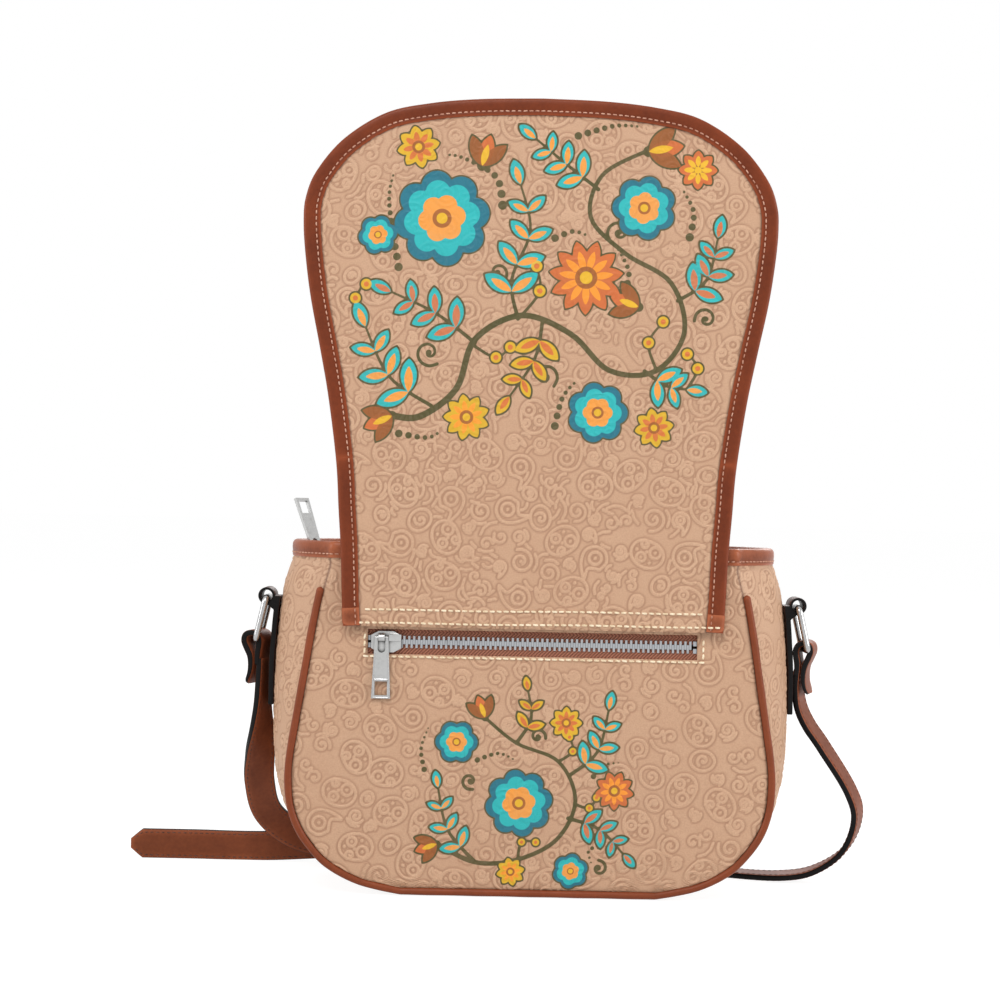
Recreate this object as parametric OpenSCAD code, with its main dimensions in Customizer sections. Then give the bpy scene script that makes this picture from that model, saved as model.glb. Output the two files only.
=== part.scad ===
// Saddle handbag, standing with its flap raised.
// Frame: +Z up, +X to the right of somebody who looks at the back panel, -Y out of the back panel.
// The origin is the centre of the flat underside.

/* [Body] */
// Width over the two welts, at the widest
body_w = 275; // [220:1:320]
// Height from the floor to the top of the binding
body_h = 200.6; // [170:0.1:240]
// Depth over the two panels
body_d = 86; // [70:1:110]
// Leather thickness of the panels
panel_t = 2.4; // [1.8:0.1:3]
// Leather thickness of the gusset
gusset_t = 1.6; // [1.2:0.1:2.2]
// How far the gusset stands out beyond the panel seams
gusset_bulge = 29; // [15:1:32]
// Diameter of the corded welt along the panel seams
welt_d = 4.4; // [3:0.1:5]
// Cloth thickness of the lining
lining_t = 0.8; // [0.5:0.1:1.2]
// Thickness of the stiff board in the bottom
board_t = 2; // [1:0.1:3]
// Depth of the binding on the mouth
mouth_binding_h = 9.6; // [7:0.1:14]
// Leather thickness of the binding on the mouth
mouth_binding_t = 1.3; // [0.8:0.1:1.6]

/* [Flap] */
// Width of the flap at its widest
flap_w = 268.8; // [220:0.1:290]
// Length of the flap from its sewn edge to its tip
flap_len = 300.2; // [270:0.1:330]
// Height of the sewn edge above the floor
flap_root_h = 152.8; // [140:0.1:160]
// Leather thickness of the flap
flap_t = 1.8; // [1.4:0.1:2.4]
// Thickness of the flap's lining
flap_lining_t = 1; // [0.6:0.1:1.4]
// Width of the binding on the flap
flap_binding_w = 9.8; // [7:0.1:13]
// How far that binding stands out of each face
flap_binding_t = 0.8; // [0.5:0.1:1.2]
// Width of the magnet snap
snap_d = 18; // [14:1:20]
// Distance of the snap from the flap's tip
snap_inset = 45; // [35:1:60]

/* [Zips] */
// Distance from tooth to tooth on one tape
tooth_pitch = 2.8; // [2.4:0.1:3.4]
// Width of a tooth along the chain
tooth_w = 1.25; // [0.9:0.05:1.3]
// Thickness of a tooth
tooth_t = 2.4; // [2:0.1:3]
// Width of the closed chain
chain_w = 6.8; // [6:0.1:8]
// Width of one tape
tape_w = 14; // [12:0.5:16]
// Thickness of the tape
tape_t = 0.8; // [0.5:0.1:1]
// Length of the chain of the back pocket
pocket_chain_l = 182; // [120:1:186]
// Distance from the middle of that chain up to the flap's sewn end
flap_zip_gap = 8.8; // [8.2:0.1:22]
// Distance from the chain of the mouth to the gusset, at both ends
mouth_zip_gap = 8.4; // [7.5:0.1:30]
// Height of the slit that a zip shows through
slit_w = 14.2; // [13.6:0.1:16]
// Depth of the back pocket below its zip
pocket_depth = 88; // [60:1:100]
// Length of the slider of the back pocket
pocket_slider_l = 17; // [13:0.5:18]
// Length of the slider of the mouth
top_slider_l = 13; // [10:0.5:14]
// Width of a slider
slider_w = 12; // [10:0.1:12.6]
// Length of a puller
puller_l = 34.5; // [28:0.5:38]
// Width of a puller at its eye
puller_w = 7.7; // [7:0.1:9]
// Width of a puller at its free end
puller_end_w = 10.8; // [8:0.1:12]
// Thickness of a puller
puller_t = 1.8; // [1.4:0.1:2.2]
// Lean of the mouth's puller from upright, in degrees
puller_lean = 25; // [0:1:30]
// Turn of that puller's top bar away from the zip's line, in degrees
puller_turn = 50; // [30:1:60]

/* [Strap and rings] */
// Width of the shoulder strap
strap_w = 18; // [14:0.5:20]
// Thickness of the shoulder strap
strap_t = 3.4; // [2.4:0.1:4]
// Distance of each strap from the middle of the bag
strap_x = 157; // [156:0.5:160]
// Height at which the hanging straps turn
strap_turn_h = 120; // [115:1:125]
// Distance behind the middle at which the strap lies
strap_back_y = 62; // [56:0.5:80]
// Distance of the tail's tip from the middle
tail_x = 244; // [215:1:260]
// Wire thickness of the rings
ring_wire = 3.8; // [3:0.1:4]
// Inner width of the rings
ring_inner_w = 20.6; // [20:0.1:23]
// Distance between the two cross bars of a ring
ring_drop = 25; // [22:0.5:28]
// Lean of the hanging rings away from the bag, in degrees
ring_lean = 12.7; // [8:0.1:14]
// Distance of each ring's upper bar from the middle
ring_x = 155; // [154:0.5:158]
// Height of each ring's upper bar
ring_h = 166; // [160:0.5:172]
// Width of the leather tabs that hold the rings
tab_w = 19; // [15:0.5:20]
// Thickness of one leather layer of a tab
tab_t = 1.5; // [1:0.1:2]
// Wire thickness of the buckle
buckle_wire = 3.2; // [2.4:0.1:3.6]
// Distance between the buckle's two cross bars
buckle_l = 24; // [20:0.5:30]

/* [Hidden] */
$fn = 48;

// Clearance between pieces that lie against each other, and the overrun of cuts
seat = 0.2;
cut = 1;

// Body: places that follow from the sizes
face_y = body_d / 2;
inner_y = face_y - panel_t;
welt_r = welt_d / 2;
rim_w = body_w / 2 - welt_d - seat / 2;
rim_z = welt_d + seat / 2;
rim_h = body_h - mouth_binding_t - rim_z;
binding_z = body_h - mouth_binding_h;
binding_share = (binding_z - rim_z) / rim_h;
mouth_share = binding_share - mouth_binding_h / 2 / rim_h;
lining_gap = 1;
pocket_gap = 6;
pocket_zip_h = flap_root_h - flap_zip_gap;

// Half of the panel's edge from the mouth down to the flat underside, as shares of rim_w and rim_h
rim_shares = [
    [0.853, 1], [0.853, binding_share], [0.853, mouth_share], [0.876, 0.87], [0.908, 0.757],
    [0.938, 0.624], [0.968, 0.493],
    [0.994, 0.371], [0.997, 0.298], [0.984, 0.228], [0.944, 0.161], [0.871, 0.0955],
    [0.8, 0.058], [0.71, 0.0277], [0.617, 0.0113], [0.531, 0]
];
// Share of the gusset's bulge against the share of the rim's height
bulge_shares = [
    [0, 0.2], [0.095, 0.19], [0.161, 0.24], [0.236, 0.36], [0.298, 0.44], [0.371, 0.55],
    [0.493, 0.728], [0.624, 0.866], [0.757, 0.945], [0.87, 1], [mouth_share, 0.917], [1, 0.917]
];
// Share of the rim's height at which the welts start
welt_start_share = 0.87;
rim_steps = 2;
gusset_cuts = 11;

// Outward normal of the edge from a to b, on an outline that runs counter-clockwise
function normal(a, b) = let (d = b - a) [d.y, -d.x] / norm(d);
// Normal at a corner, lengthened so that both edges move out by the same distance
function mitre(m, n) = (m + n) / (1 + m * n);
function loop_normal(p, i) = let (n = len(p))
    mitre(normal(p[(i + n - 1) % n], p[i]), normal(p[i], p[(i + 1) % n]));
function path_normal(p, i) = let (e = len(p) - 1)
    i == 0 ? normal(p[0], p[1]) : i == e ? normal(p[e - 1], p[e])
    : mitre(normal(p[i - 1], p[i]), normal(p[i], p[i + 1]));
function grow(p, d) = [for (i = [0:len(p) - 1]) p[i] + d * loop_normal(p, i)];
function back_to_front(p) = [for (i = [len(p) - 1:-1:0]) p[i]];
function mirrored(p) = [for (q = p) [-q.x, q.y]];

// A smooth curve through points
function curve_at(a, b, c, d, t) =
    (2 * b + (c - a) * t + (2 * a - 5 * b + 4 * c - d) * t * t + (3 * b - a - 3 * c + d) * t * t * t) / 2;
function curve(p, n) = let (e = len(p) - 1) [
    for (i = [0:e - 1], k = [0:n - 1])
        curve_at(p[max(i - 1, 0)], p[i], p[i + 1], p[min(i + 2, e)], k / n),
    p[e]
];

// The body's edge from the left of the mouth, round the underside, to the right of the mouth
half_rim = curve([for (s = rim_shares) [s[0] * rim_w, rim_z + s[1] * rim_h]], rim_steps);
rim = concat(mirrored(half_rim), back_to_front(half_rim));
function height_share(p) = (p.y - rim_z) / rim_h;
function bulge(p) = gusset_bulge * lookup(height_share(p), bulge_shares);
function crown(y) = 1 - pow(y / inner_y, 2);
// Where the gusset's outer face lies at depth y, moved in by d and kept at or above the height low,
// and at or below the height high
function rim_at(y, d, low, high) = [
    for (i = [0:len(rim) - 1])
        let (q = rim[i] + path_normal(rim, i) * (bulge(rim[i]) * crown(y) - d))
            [q.x, min(max(q.y, low), high)]
];

// A closed solid through rings of points that all have the same count. A crescent has its ends
// closed in strips.
module loft(rings, crescent = false) {
    m = len(rings[0]);
    e = len(rings) - 1;
    sides = [
        for (i = [0:e - 1], j = [0:m - 1]) let (a = i * m + j, b = i * m + (j + 1) % m)
            each [[a, b, b + m], [a, b + m, a + m]]
    ];
    strips = [for (j = [0:m / 2 - 2]) each [[j, m - 1 - j, m - 2 - j], [j, m - 2 - j, j + 1]]];
    fan = [for (j = [1:m - 2]) [0, j + 1, j]];
    start = crescent ? strips : fan;
    end = [for (f = start) [f[0], f[2], f[1]] + [e * m, e * m, e * m]];
    polyhedron([for (r = rings) each r], concat(sides, start, end));
}

// Walls that follow the gusset between two depths, each a crescent of an outer and an inner line
module gusset_wall(y0, y1, d, t, first, high, cuts) {
    ys = [for (k = [0:cuts]) y0 + (y1 - y0) * k / cuts];
    outer = [for (y = ys) rim_at(y, d, d, high)];
    inner = [for (y = ys) rim_at(y, d + t, d + t, high)];
    loft([
        for (i = [len(rim) - 1 - first:-1:first]) concat(
            [for (k = [0:cuts]) [outer[k][i].x, ys[k], outer[k][i].y]],
            [for (k = [cuts:-1:0]) [inner[k][i].x, ys[k], inner[k][i].y]])
    ], crescent = true);
}

// A flat piece that stands upright: an outline in X and Z, from depth y, with thickness t towards +Y
module upright(y, t, p) {
    translate([0, y + t, 0]) rotate([90, 0, 0]) linear_extrude(t) polygon(p);
}
module bar_x(x0, x1, y, z, r) {
    translate([x0, y, z]) rotate([0, 90, 0]) cylinder(h = x1 - x0, r = r);
}
module bar_y(y0, y1, x, z, r) {
    translate([x, y0, z]) rotate([-90, 0, 0]) cylinder(h = y1 - y0, r = r);
}
module block(a, b) {
    translate(a) cube(b - a);
}

// Panels, gusset and welts

slit_l = pocket_chain_l + 4 * tooth_w;
module back_panel() {
    color("#cba283") difference() {
        upright(-face_y, panel_t, rim);
        block([-slit_l / 2, -face_y - cut, pocket_zip_h - slit_w / 2],
              [slit_l / 2, -inner_y + cut, pocket_zip_h + slit_w / 2]);
    }
}
module front_panel() {
    color("#cba283") upright(inner_y, panel_t, rim);
}
module gusset() {
    color("#c59a7a") gusset_wall(-inner_y, inner_y, 0, gusset_t, 0, body_h, gusset_cuts);
}
module welt(side) {
    line = [for (i = [0:len(rim) - 1])
        if (height_share(rim[i]) <= welt_start_share)
            rim[i] + path_normal(rim, i) * (welt_r + seat / 2)];
    corners = 8;
    loft([
        for (i = [0:len(line) - 1]) let (n = path_normal(line, i)) [
            for (k = [0:corners - 1]) let (a = -360 * (k + 1 / 2) / corners)
                [line[i].x + n.x * welt_r * cos(a), side * (inner_y + panel_t / 2) + welt_r * sin(a),
                 max(line[i].y + n.y * welt_r * cos(a), 0)]
        ]
    ]);
}
module back_welt() {
    color("#7a3e20") welt(-1);
}
module front_welt() {
    color("#7a3e20") welt(1);
}

// The mouth seen from above, from the outer face of the leather inwards

mouth_x = rim_shares[0][0] * rim_w;
mouth_bulge = bulge_shares[len(bulge_shares) - 1][1] * gusset_bulge;
mouth_side = concat(
    [[mouth_x, -face_y]],
    [for (k = [0:gusset_cuts]) let (y = inner_y * (2 * k / gusset_cuts - 1))
        [mouth_x + mouth_bulge * crown(y), y]],
    [[mouth_x, face_y]]
);
mouth_inner_side = [
    for (k = [0:gusset_cuts]) let (y = inner_y * (2 * k / gusset_cuts - 1))
        [mouth_x + mouth_bulge * crown(y) - gusset_t, y]
];
mouth = concat(mouth_side, back_to_front(mirrored(mouth_side)));
mouth_inner = concat(mouth_inner_side, back_to_front(mirrored(mouth_inner_side)));

module top_binding() {
    color("#82401f") difference() {
        translate([0, 0, binding_z]) linear_extrude(mouth_binding_h) polygon(grow(mouth, mouth_binding_t));
        difference() {
            translate([0, 0, binding_z - cut])
                linear_extrude(mouth_binding_h - mouth_binding_t + cut) polygon(mouth);
            translate([0, 0, binding_z - 2 * cut])
                linear_extrude(mouth_binding_h + cut) polygon(mouth_inner);
        }
        translate([0, 0, binding_z - cut])
            linear_extrude(mouth_binding_h + 2 * cut) polygon(grow(mouth_inner, -mouth_binding_t));
    }
}

// Lining, base board and pocket

lining_front_y = inner_y - lining_gap;
lining_back_y = -inner_y + tape_t + pocket_gap + lining_gap + lining_t;
lining_d = gusset_t + 2 * seat;
strip_t = 1.6;
strip_z = binding_z - seat - strip_t;
tape_z = strip_z - tape_t;

module lining_plate(y, widest_y) {
    color("#8a6a52") intersection() {
        upright(y, lining_t, rim_at(widest_y, lining_d, lining_d, body_h));
        block([-body_w, y - cut, 0], [body_w, y + lining_t + cut, tape_z - seat]);
    }
}
module lining_front() {
    lining_plate(lining_front_y - lining_t, lining_front_y);
}
module lining_back() {
    lining_plate(lining_back_y - lining_t, lining_back_y - lining_t);
}
module lining_gusset() {
    color("#8a6a52")
        gusset_wall(lining_back_y + seat, lining_front_y - lining_t - seat, lining_d, lining_t,
                    2 * rim_steps, tape_z - seat, 8);
}

board_z = rim_z + lining_d + lining_t + seat;
board_x = rim_shares[len(rim_shares) - 1][0] * rim_w;
board_corner = 6;
module base_board() {
    y0 = lining_back_y + 2 * seat + board_corner;
    y1 = lining_front_y - lining_t - 2 * seat - board_corner;
    color("#5b4636") translate([0, 0, board_z]) linear_extrude(board_t) union() {
        for (x = [board_corner - board_x, board_x - board_corner], y = [y0, y1])
            translate([x, y]) circle(board_corner);
        translate([-board_x, y0]) square([2 * board_x, y1 - y0]);
        translate([board_corner - board_x, y0 - board_corner])
            square([2 * (board_x - board_corner), y1 - y0 + 2 * board_corner]);
    }
}

pouch_t = 0.6;
module pocket_pouch() {
    x = slit_l / 2 + tape_w / 2;
    top = pocket_zip_h + slit_w / 2 + tape_w / 2;
    low = pocket_zip_h - pocket_depth;
    y0 = -inner_y + tape_t;
    y1 = y0 + pocket_gap + pouch_t;
    color("#8a6a52") difference() {
        block([-x, y0, low], [x, y1, top]);
        block([-x + pouch_t, y0 + pouch_t, low + pouch_t], [x - pouch_t, y1 - pouch_t, top - pouch_t]);
        block([-x + tape_w / 2, y0 - cut, pocket_zip_h - slit_w / 2],
              [x - tape_w / 2, y0 + pouch_t + cut, pocket_zip_h + slit_w / 2]);
    }
}

// Zips. A zip is drawn flat: the chain along X, the tapes to both sides in Y, and its face towards +Z.

head_w = 1.5;
jaw_t = (tooth_t - tape_t) / 2;
tooth_gap = 0.05;

// The side view of a tooth: a head that meets its neighbours, and two jaws that clamp the tape
tooth_profile = [
    [-head_w + seat, -tooth_t / 2], [chain_w / 2, -tooth_t / 2], [chain_w / 2, -tape_t / 2],
    [head_w, -tape_t / 2], [head_w, tape_t / 2], [chain_w / 2, tape_t / 2],
    [chain_w / 2, tooth_t / 2], [-head_w + seat, tooth_t / 2]
];
module tooth() {
    rotate([90, 0, 90]) linear_extrude(tooth_w, center = true) polygon(tooth_profile);
}
module chain(length) {
    count = floor(length / tooth_pitch);
    for (i = [0:count - 1]) {
        x = (i - (count - 1) / 2) * tooth_pitch;
        translate([x, 0, 0]) tooth();
        if (i < count - 1)
            translate([x + tooth_pitch / 2, 0, 0]) mirror([0, 1, 0]) tooth();
    }
}
module tapes(length) {
    for (s = [0, 1])
        mirror([0, s, 0])
            block([-length / 2, head_w + tooth_gap, -tape_t / 2 + tooth_gap / 2],
                  [length / 2, head_w + tape_w, tape_t / 2 - tooth_gap / 2]);
}
stop_w = 2;
module stops(length) {
    for (x = [-length / 2 - stop_w / 2, length / 2 + stop_w / 2], s = [0, 1])
        mirror([0, s, 0]) translate([x, 0, 0]) difference() {
            block([-stop_w / 2, head_w / 2, -tooth_t / 2], [stop_w / 2, chain_w / 2, tooth_t / 2]);
            block([-stop_w, head_w, -tape_t / 2], [stop_w, chain_w, tape_t / 2]);
        }
}

// Slider: two plates over and under the chain, an arch over the puller's top bar, and a sloping rib
plate_t = 1.4;
run_gap = 0.3;
plate_z = tooth_t / 2 + run_gap;
arch_w = 3.6;
arch_t = 1.3;
puller_bar = 1.8;
nose_share = 0.62;
function slider_outline(l) = [
    [-l / 2, -slider_w * nose_share / 2], [-l / 4, -slider_w / 2], [l / 4, -slider_w / 2],
    [l / 2, -slider_w * nose_share / 2], [l / 2, slider_w * nose_share / 2], [l / 4, slider_w / 2],
    [-l / 4, slider_w / 2], [-l / 2, slider_w * nose_share / 2]
];
// Middle of the puller's top bar above the zip's middle, and its distance from the slider's middle
pin_z = plate_z + plate_t + run_gap + puller_bar / 2;
pin_back = 2.5;
// How far above its slider's middle the pocket's puller hangs
pin_up = 2.4;
arch_in = puller_bar / 2 + run_gap;

// What the puller turns in: its top bar is round and lies under the arch
module arch() {
    rotate([90, 0, 90]) translate([0, 0, -arch_w / 2]) linear_extrude(arch_w) difference() {
        union() {
            circle(arch_in + arch_t);
            translate([-arch_in - arch_t, plate_z + plate_t - pin_z])
                square([2 * (arch_in + arch_t), pin_z - plate_z - plate_t]);
        }
        circle(arch_in);
    }
}
module slider(l, up = 0, turn = 0) {
    color("#b9b9b6") {
        translate([0, 0, plate_z]) linear_extrude(plate_t) polygon(slider_outline(l));
        translate([0, 0, -plate_z - plate_t]) linear_extrude(plate_t) polygon(slider_outline(l));
        translate([-pin_back, up, pin_z]) rotate([0, 0, turn]) arch();
        rib_x = -pin_back + puller_w / 2 + run_gap;
        translate([0, up + arch_w / 2, plate_z + plate_t]) rotate([90, 0, 0]) linear_extrude(arch_w)
            polygon([[rib_x, 0], [l / 2, 0], [l / 2, plate_t / 2], [rib_x, puller_bar + 2 * run_gap]]);
    }
}

// Puller: drawn hanging along -Y from the middle of its round top bar, flat in X and Y
eye_w = 4.3;
eye_l = 8.5;
window_w = 7.1;
window_l = 8;
module puller() {
    bar_end = puller_w / 2;
    color("#c4c4c2") {
        rotate([0, 90, 0]) cylinder(h = puller_w, r = puller_bar / 2, center = true);
        translate([0, 0, -puller_t / 2]) linear_extrude(puller_t) difference() {
            polygon([
                [-bar_end, 0], [bar_end, 0], [puller_end_w / 2, -puller_l], [-puller_end_w / 2, -puller_l]
            ]);
            translate([-eye_w / 2, -eye_l + eye_w / 2]) square([eye_w, eye_l]);
            translate([0, -eye_l + eye_w / 2]) circle(eye_w / 2);
            translate([-window_w / 2, -puller_l + puller_bar]) square([window_w, window_l]);
        }
    }
}

// The back pocket's zip faces -Y, and the mouth's zip faces up
module on_pocket(x = 0) {
    translate([x, -inner_y + tape_t / 2, pocket_zip_h]) rotate([90, 0, 0]) children();
}
module on_mouth(x = 0) {
    translate([x, 0, tape_z + tape_t / 2]) children();
}
slider_rest = 0.5;
top_chain_l = 2 * (mouth_x + mouth_bulge - gusset_t - mouth_zip_gap);
pocket_slider_x = -pocket_chain_l / 2 + pocket_slider_l / 2 - slider_rest;
top_slider_x = -top_chain_l / 2 + top_slider_l / 2 - slider_rest;

module pocket_zip_tape() {
    color("#7d4632") on_pocket() tapes(slit_l + tape_w);
}
module pocket_zip_teeth() {
    color("#a9a9a6") on_pocket() chain(pocket_chain_l);
}
module pocket_zip_stops() {
    color("#a9a9a6") on_pocket() stops(pocket_chain_l + 2 * seat);
}
module pocket_slider() {
    on_pocket(pocket_slider_x) slider(pocket_slider_l, pin_up);
}
module pocket_puller() {
    on_pocket(pocket_slider_x - pin_back) translate([0, pin_up, pin_z]) puller();
}
module top_zip_tape() {
    color("#7d4632") on_mouth() tapes(top_chain_l + 2 * stop_w);
}
module top_zip_teeth() {
    color("#a9a9a6") on_mouth() chain(top_chain_l);
}
module top_zip_stops() {
    color("#a9a9a6") on_mouth() stops(top_chain_l + 2 * seat);
}
module top_slider() {
    on_mouth(top_slider_x) slider(top_slider_l, 0, puller_turn);
}
module top_puller() {
    on_mouth(top_slider_x - pin_back) translate([0, 0, pin_z])
        rotate([0, 0, puller_turn]) rotate([-90 - puller_lean, 0, 0]) puller();
}

// Strips that close the mouth on both sides of the zip
module top_strip(side) {
    plan = grow(mouth_inner, gusset_t - lining_d - lining_t - seat);
    color("#c59a7a") intersection() {
        translate([0, 0, strip_z]) linear_extrude(strip_t) polygon(plan);
        mirror([0, side < 0 ? 1 : 0, 0])
            block([-body_w, slit_w / 2, strip_z - cut], [body_w, body_d, strip_z + strip_t + cut]);
    }
}
module top_strip_back() {
    top_strip(-1);
}
module top_strip_front() {
    top_strip(1);
}

// Tabs and rings. Each is drawn for the right side, and the left side is its mirror image.

function side_x(z) = let (
    n = len(rim),
    p = [for (i = [floor(n / 2):n - 1]) rim[i] + path_normal(rim, i) * bulge(rim[i])]
) lookup(z, [for (q = p) [q.y, q.x]]);

tab_loop_r = 3.4;
tab_low_share = 0.51;
tab_low = tab_low_share * rim_h + rim_z;
tab_loop_z = ring_h + tab_loop_r - ring_wire / 2 - run_gap;
module tab() {
    steps = 8;
    zs = [for (k = [0:steps]) tab_low + (tab_loop_z - tab_low) * k / steps];
    inner = [for (z = zs) [side_x(z) + run_gap, z]];
    outer = [for (z = back_to_front(zs)) [side_x(z) + run_gap + 2 * tab_t, z]];
    neck_z = tab_loop_z - 3 * tab_loop_r;
    neck = [
        [side_x(neck_z) + run_gap, neck_z], [ring_x, tab_loop_z - tab_loop_r - tab_t],
        [ring_x, tab_loop_z], [side_x(tab_loop_z) + run_gap, tab_loop_z]
    ];
    color("#6e3522") difference() {
        union() {
            upright(-tab_w / 2, tab_w, concat(inner, outer));
            upright(-tab_w / 2, tab_w, neck);
            bar_y(-tab_w / 2, tab_w / 2, ring_x, tab_loop_z, tab_loop_r + tab_t);
        }
        bar_y(-tab_w / 2 - cut, tab_w / 2 + cut, ring_x, tab_loop_z, tab_loop_r);
    }
}
module tab_right() {
    tab();
}
module tab_left() {
    mirror([1, 0, 0]) tab();
}

// The lower bar hangs at this place
hang_x = ring_x + ring_drop * sin(ring_lean);
hang_z = ring_h - ring_drop * cos(ring_lean);
ring_corner = 3;
module ring() {
    r = ring_wire / 2;
    w = ring_inner_w / 2 + r;
    c = ring_corner;
    color("#b5b5b3") translate([ring_x, 0, ring_h]) rotate([0, -ring_lean, 0]) {
        for (z = [0, -ring_drop])
            bar_y(c - w, w - c, 0, z, r);
        for (y = [-w, w])
            translate([0, y, c - ring_drop]) cylinder(h = ring_drop - 2 * c, r = r);
        for (s = [0, 1], t = [0, 1])
            mirror([0, s, 0]) translate([0, w - c, -ring_drop / 2]) mirror([0, 0, t])
                translate([0, 0, ring_drop / 2 - c]) rotate([90, 0, 90])
                    rotate_extrude(angle = 90) translate([c, 0]) circle(r);
    }
}
module ring_right() {
    ring();
}
module ring_left() {
    mirror([1, 0, 0]) ring();
}

// The strap's end goes over the ring's lower bar in a loose fold. Its outer layer runs on and flares away.
fold_t = strap_t / 2;
fold_r = 2.9;
fold_half = 2.4;
fold_top_gap = 0.75;
fold_z = hang_z + ring_wire / 2 + fold_top_gap - fold_r;
end_gap = 0.6;
strap_apart = 2;
leaf_tip = 2.4;
module stadium(r, a) {
    for (x = [-a, a])
        translate([x, 0]) circle(r);
    translate([-a, -r]) square([2 * a, 2 * r]);
}
module strap_end() {
    low = strap_turn_h + strap_w / 2 + end_gap;
    leaf_x = strap_x + strap_t / 2;
    color("#73402e") translate([0, strap_w / 2, 0]) rotate([90, 0, 0])
        linear_extrude(strap_w) difference() {
        union() {
            translate([hang_x, fold_z]) stadium(fold_r + fold_t, fold_half);
            polygon([
                [strap_x - strap_t / 2, low], [leaf_x, low], [leaf_x, low + leaf_tip],
                [leaf_x + leaf_tip, low], [leaf_x + leaf_tip + fold_t, low + fold_t / 2],
                [leaf_x + fold_t, low + 2 * leaf_tip],
                [hang_x + fold_half + fold_r, fold_z - fold_r], [strap_x - strap_t / 2, fold_z - fold_r]
            ]);
        }
        translate([hang_x, fold_z]) stadium(fold_r, fold_half);
    }
}
module strap_end_right() {
    strap_end();
}
module strap_end_left() {
    mirror([1, 0, 0]) strap_end();
}

// Straps. A row holds a point as shares of strap_x, strap_back_y and strap_turn_h, and the way
// that the width points.

strap_lift = (buckle_wire * 2 + ring_corner) / 2;
level_share = (strap_w / 2 + strap_lift) / strap_turn_h;
short_shares = [
    [-1, 0, 1, 0, 1, 0], [-1.002, 0.02, 0.87, 0, 1, 0], [-1.008, 0.1, 0.74, 0.4, 0.9, 0],
    [-1.018, 0.26, 0.6, 0.85, 0.5, 0], [-1.025, 0.44, 0.45, 1, 0.1, 0.05],
    [-1, 0.68, 0.28, 0.9, 0, 0.4],
    [-0.9, 0.88, 0.155, 0.5, 0, 0.85], [-0.77, 0.98, 0.11, 0.1, 0, 1], [-0.6, 1, level_share, 0, 0, 1]
];
long_y_share = 1 + (strap_t + strap_apart) / strap_back_y;
long_shares = [
    [1, 0, 1, 0, 1, 0], [1.012, 0.01, 0.9, 0, 1, 0], [1.045, 0.02, 0.81, 0, 1, 0],
    [1.105, 0.05, 0.7, 0, 1, 0], [1.21, 0.13, 0.49, 0, 1, 0], [1.246, 0.23, 0.34, 0, 1, 0],
    [1.205, 0.32, 0.175, 0, 1, 0], [1.1, 0.42, 0.065, 0, 1, 0], [0.98, 0.52, 0.024, 0, 1, 0],
    [0.81, 0.68, 0.0165, 0, 1, 0], [0.67, 0.86, 0.027, 0, 1, 0.04], [0.55, 0.98, 0.088, 0, 0.75, 0.66],
    [0.43, 1.04, 0.108, 0, 0.25, 1], [0.32, long_y_share, level_share, 0, 0, 1]
];
function unit(v) = v / norm(v);
function strap_point(s) = [s[0] * strap_x, s[1] * strap_back_y, s[2] * strap_turn_h];
function strap_ring(p, along, wide, half) = let (
    w = unit(wide - along * (wide * along)),
    n = cross(along, w)
) [for (c = [[-1, -1], [-1, 1], [1, 1], [1, -1]]) p + w * half * c[0] + n * strap_t / 2 * c[1]];
// Rings along a route, after a round top end that is centred on the first point
module strap_run(shares) {
    steps = 3;
    pts = curve([for (s = shares) strap_point(s)], steps);
    wides = curve([for (s = shares) [s[3], s[4], s[5]]], steps);
    e = len(pts) - 1;
    tip = [for (a = [85, 65, 45, 22]) strap_ring(pts[0] + [0, 0, strap_w / 2 * sin(a)], [0, 0, -1],
                                                  wides[0], strap_w / 2 * cos(a))];
    run = [
        for (i = [0:e]) let (
            along = i == 0 ? [0, 0, -1] : i == e ? [sign(pts[e].x - pts[e - 1].x), 0, 0]
                : unit(pts[i + 1] - pts[i - 1])
        ) strap_ring(pts[i], along, wides[i], strap_w / 2)
    ];
    loft(concat(tip, run));
}

level_z = level_share * strap_turn_h;
bar_x0 = -30;
short_end = short_shares[len(short_shares) - 1][0] * strap_x;
long_end = long_shares[len(long_shares) - 1][0] * strap_x;
long_y = long_y_share * strap_back_y;
buckle_r = buckle_wire / 2;
prong_r = 1.3;
hole_r = 2;
short_y = strap_back_y;

module short_strap() {
    color("#73402e") {
        strap_run(short_shares);
        difference() {
            union() {
                block([short_end, short_y - strap_t / 2, level_z - strap_w / 2],
                      [bar_x0 - buckle_r, short_y + strap_t / 2, level_z + strap_w / 2]);
                translate([bar_x0, short_y, level_z - strap_w / 2])
                    cylinder(h = strap_w, r = strap_t / 2 + fold_t);
            }
            translate([bar_x0, short_y, level_z - strap_w / 2 - cut])
                cylinder(h = strap_w + 2 * cut, r = buckle_r + tooth_gap);
            block([bar_x0 - 2 * buckle_wire, short_y - strap_w, level_z - 2 * prong_r],
                  [bar_x0 + strap_w, short_y + strap_w, level_z + 2 * prong_r]);
        }
    }
}

hole_pitch = 24;
hole_x = bar_x0 + buckle_wire + prong_r;
tail_low = -strap_x;
tail_shoulder = 7;
module long_strap() {
    h = strap_w / 2;
    color("#73402e") {
        strap_run(long_shares);
        upright_line = [
            [long_end, level_z - h], [long_end, level_z + h], [2 * bar_x0 - h * 2, level_z + h],
            [tail_low, 2 * h], [-tail_x + tail_shoulder, 2 * h], [-tail_x, h + h / 3], [-tail_x, h - h / 3],
            [-tail_x + tail_shoulder, 0], [tail_low, 0], [2 * bar_x0 - h * 2, level_z - h]
        ];
        translate([0, long_y + strap_t / 2, 0]) rotate([90, 0, 0]) linear_extrude(strap_t) difference() {
            polygon(upright_line);
            for (k = [-1:2])
                translate([hole_x - k * hole_pitch, level_z]) circle(hole_r);
        }
    }
}

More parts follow.
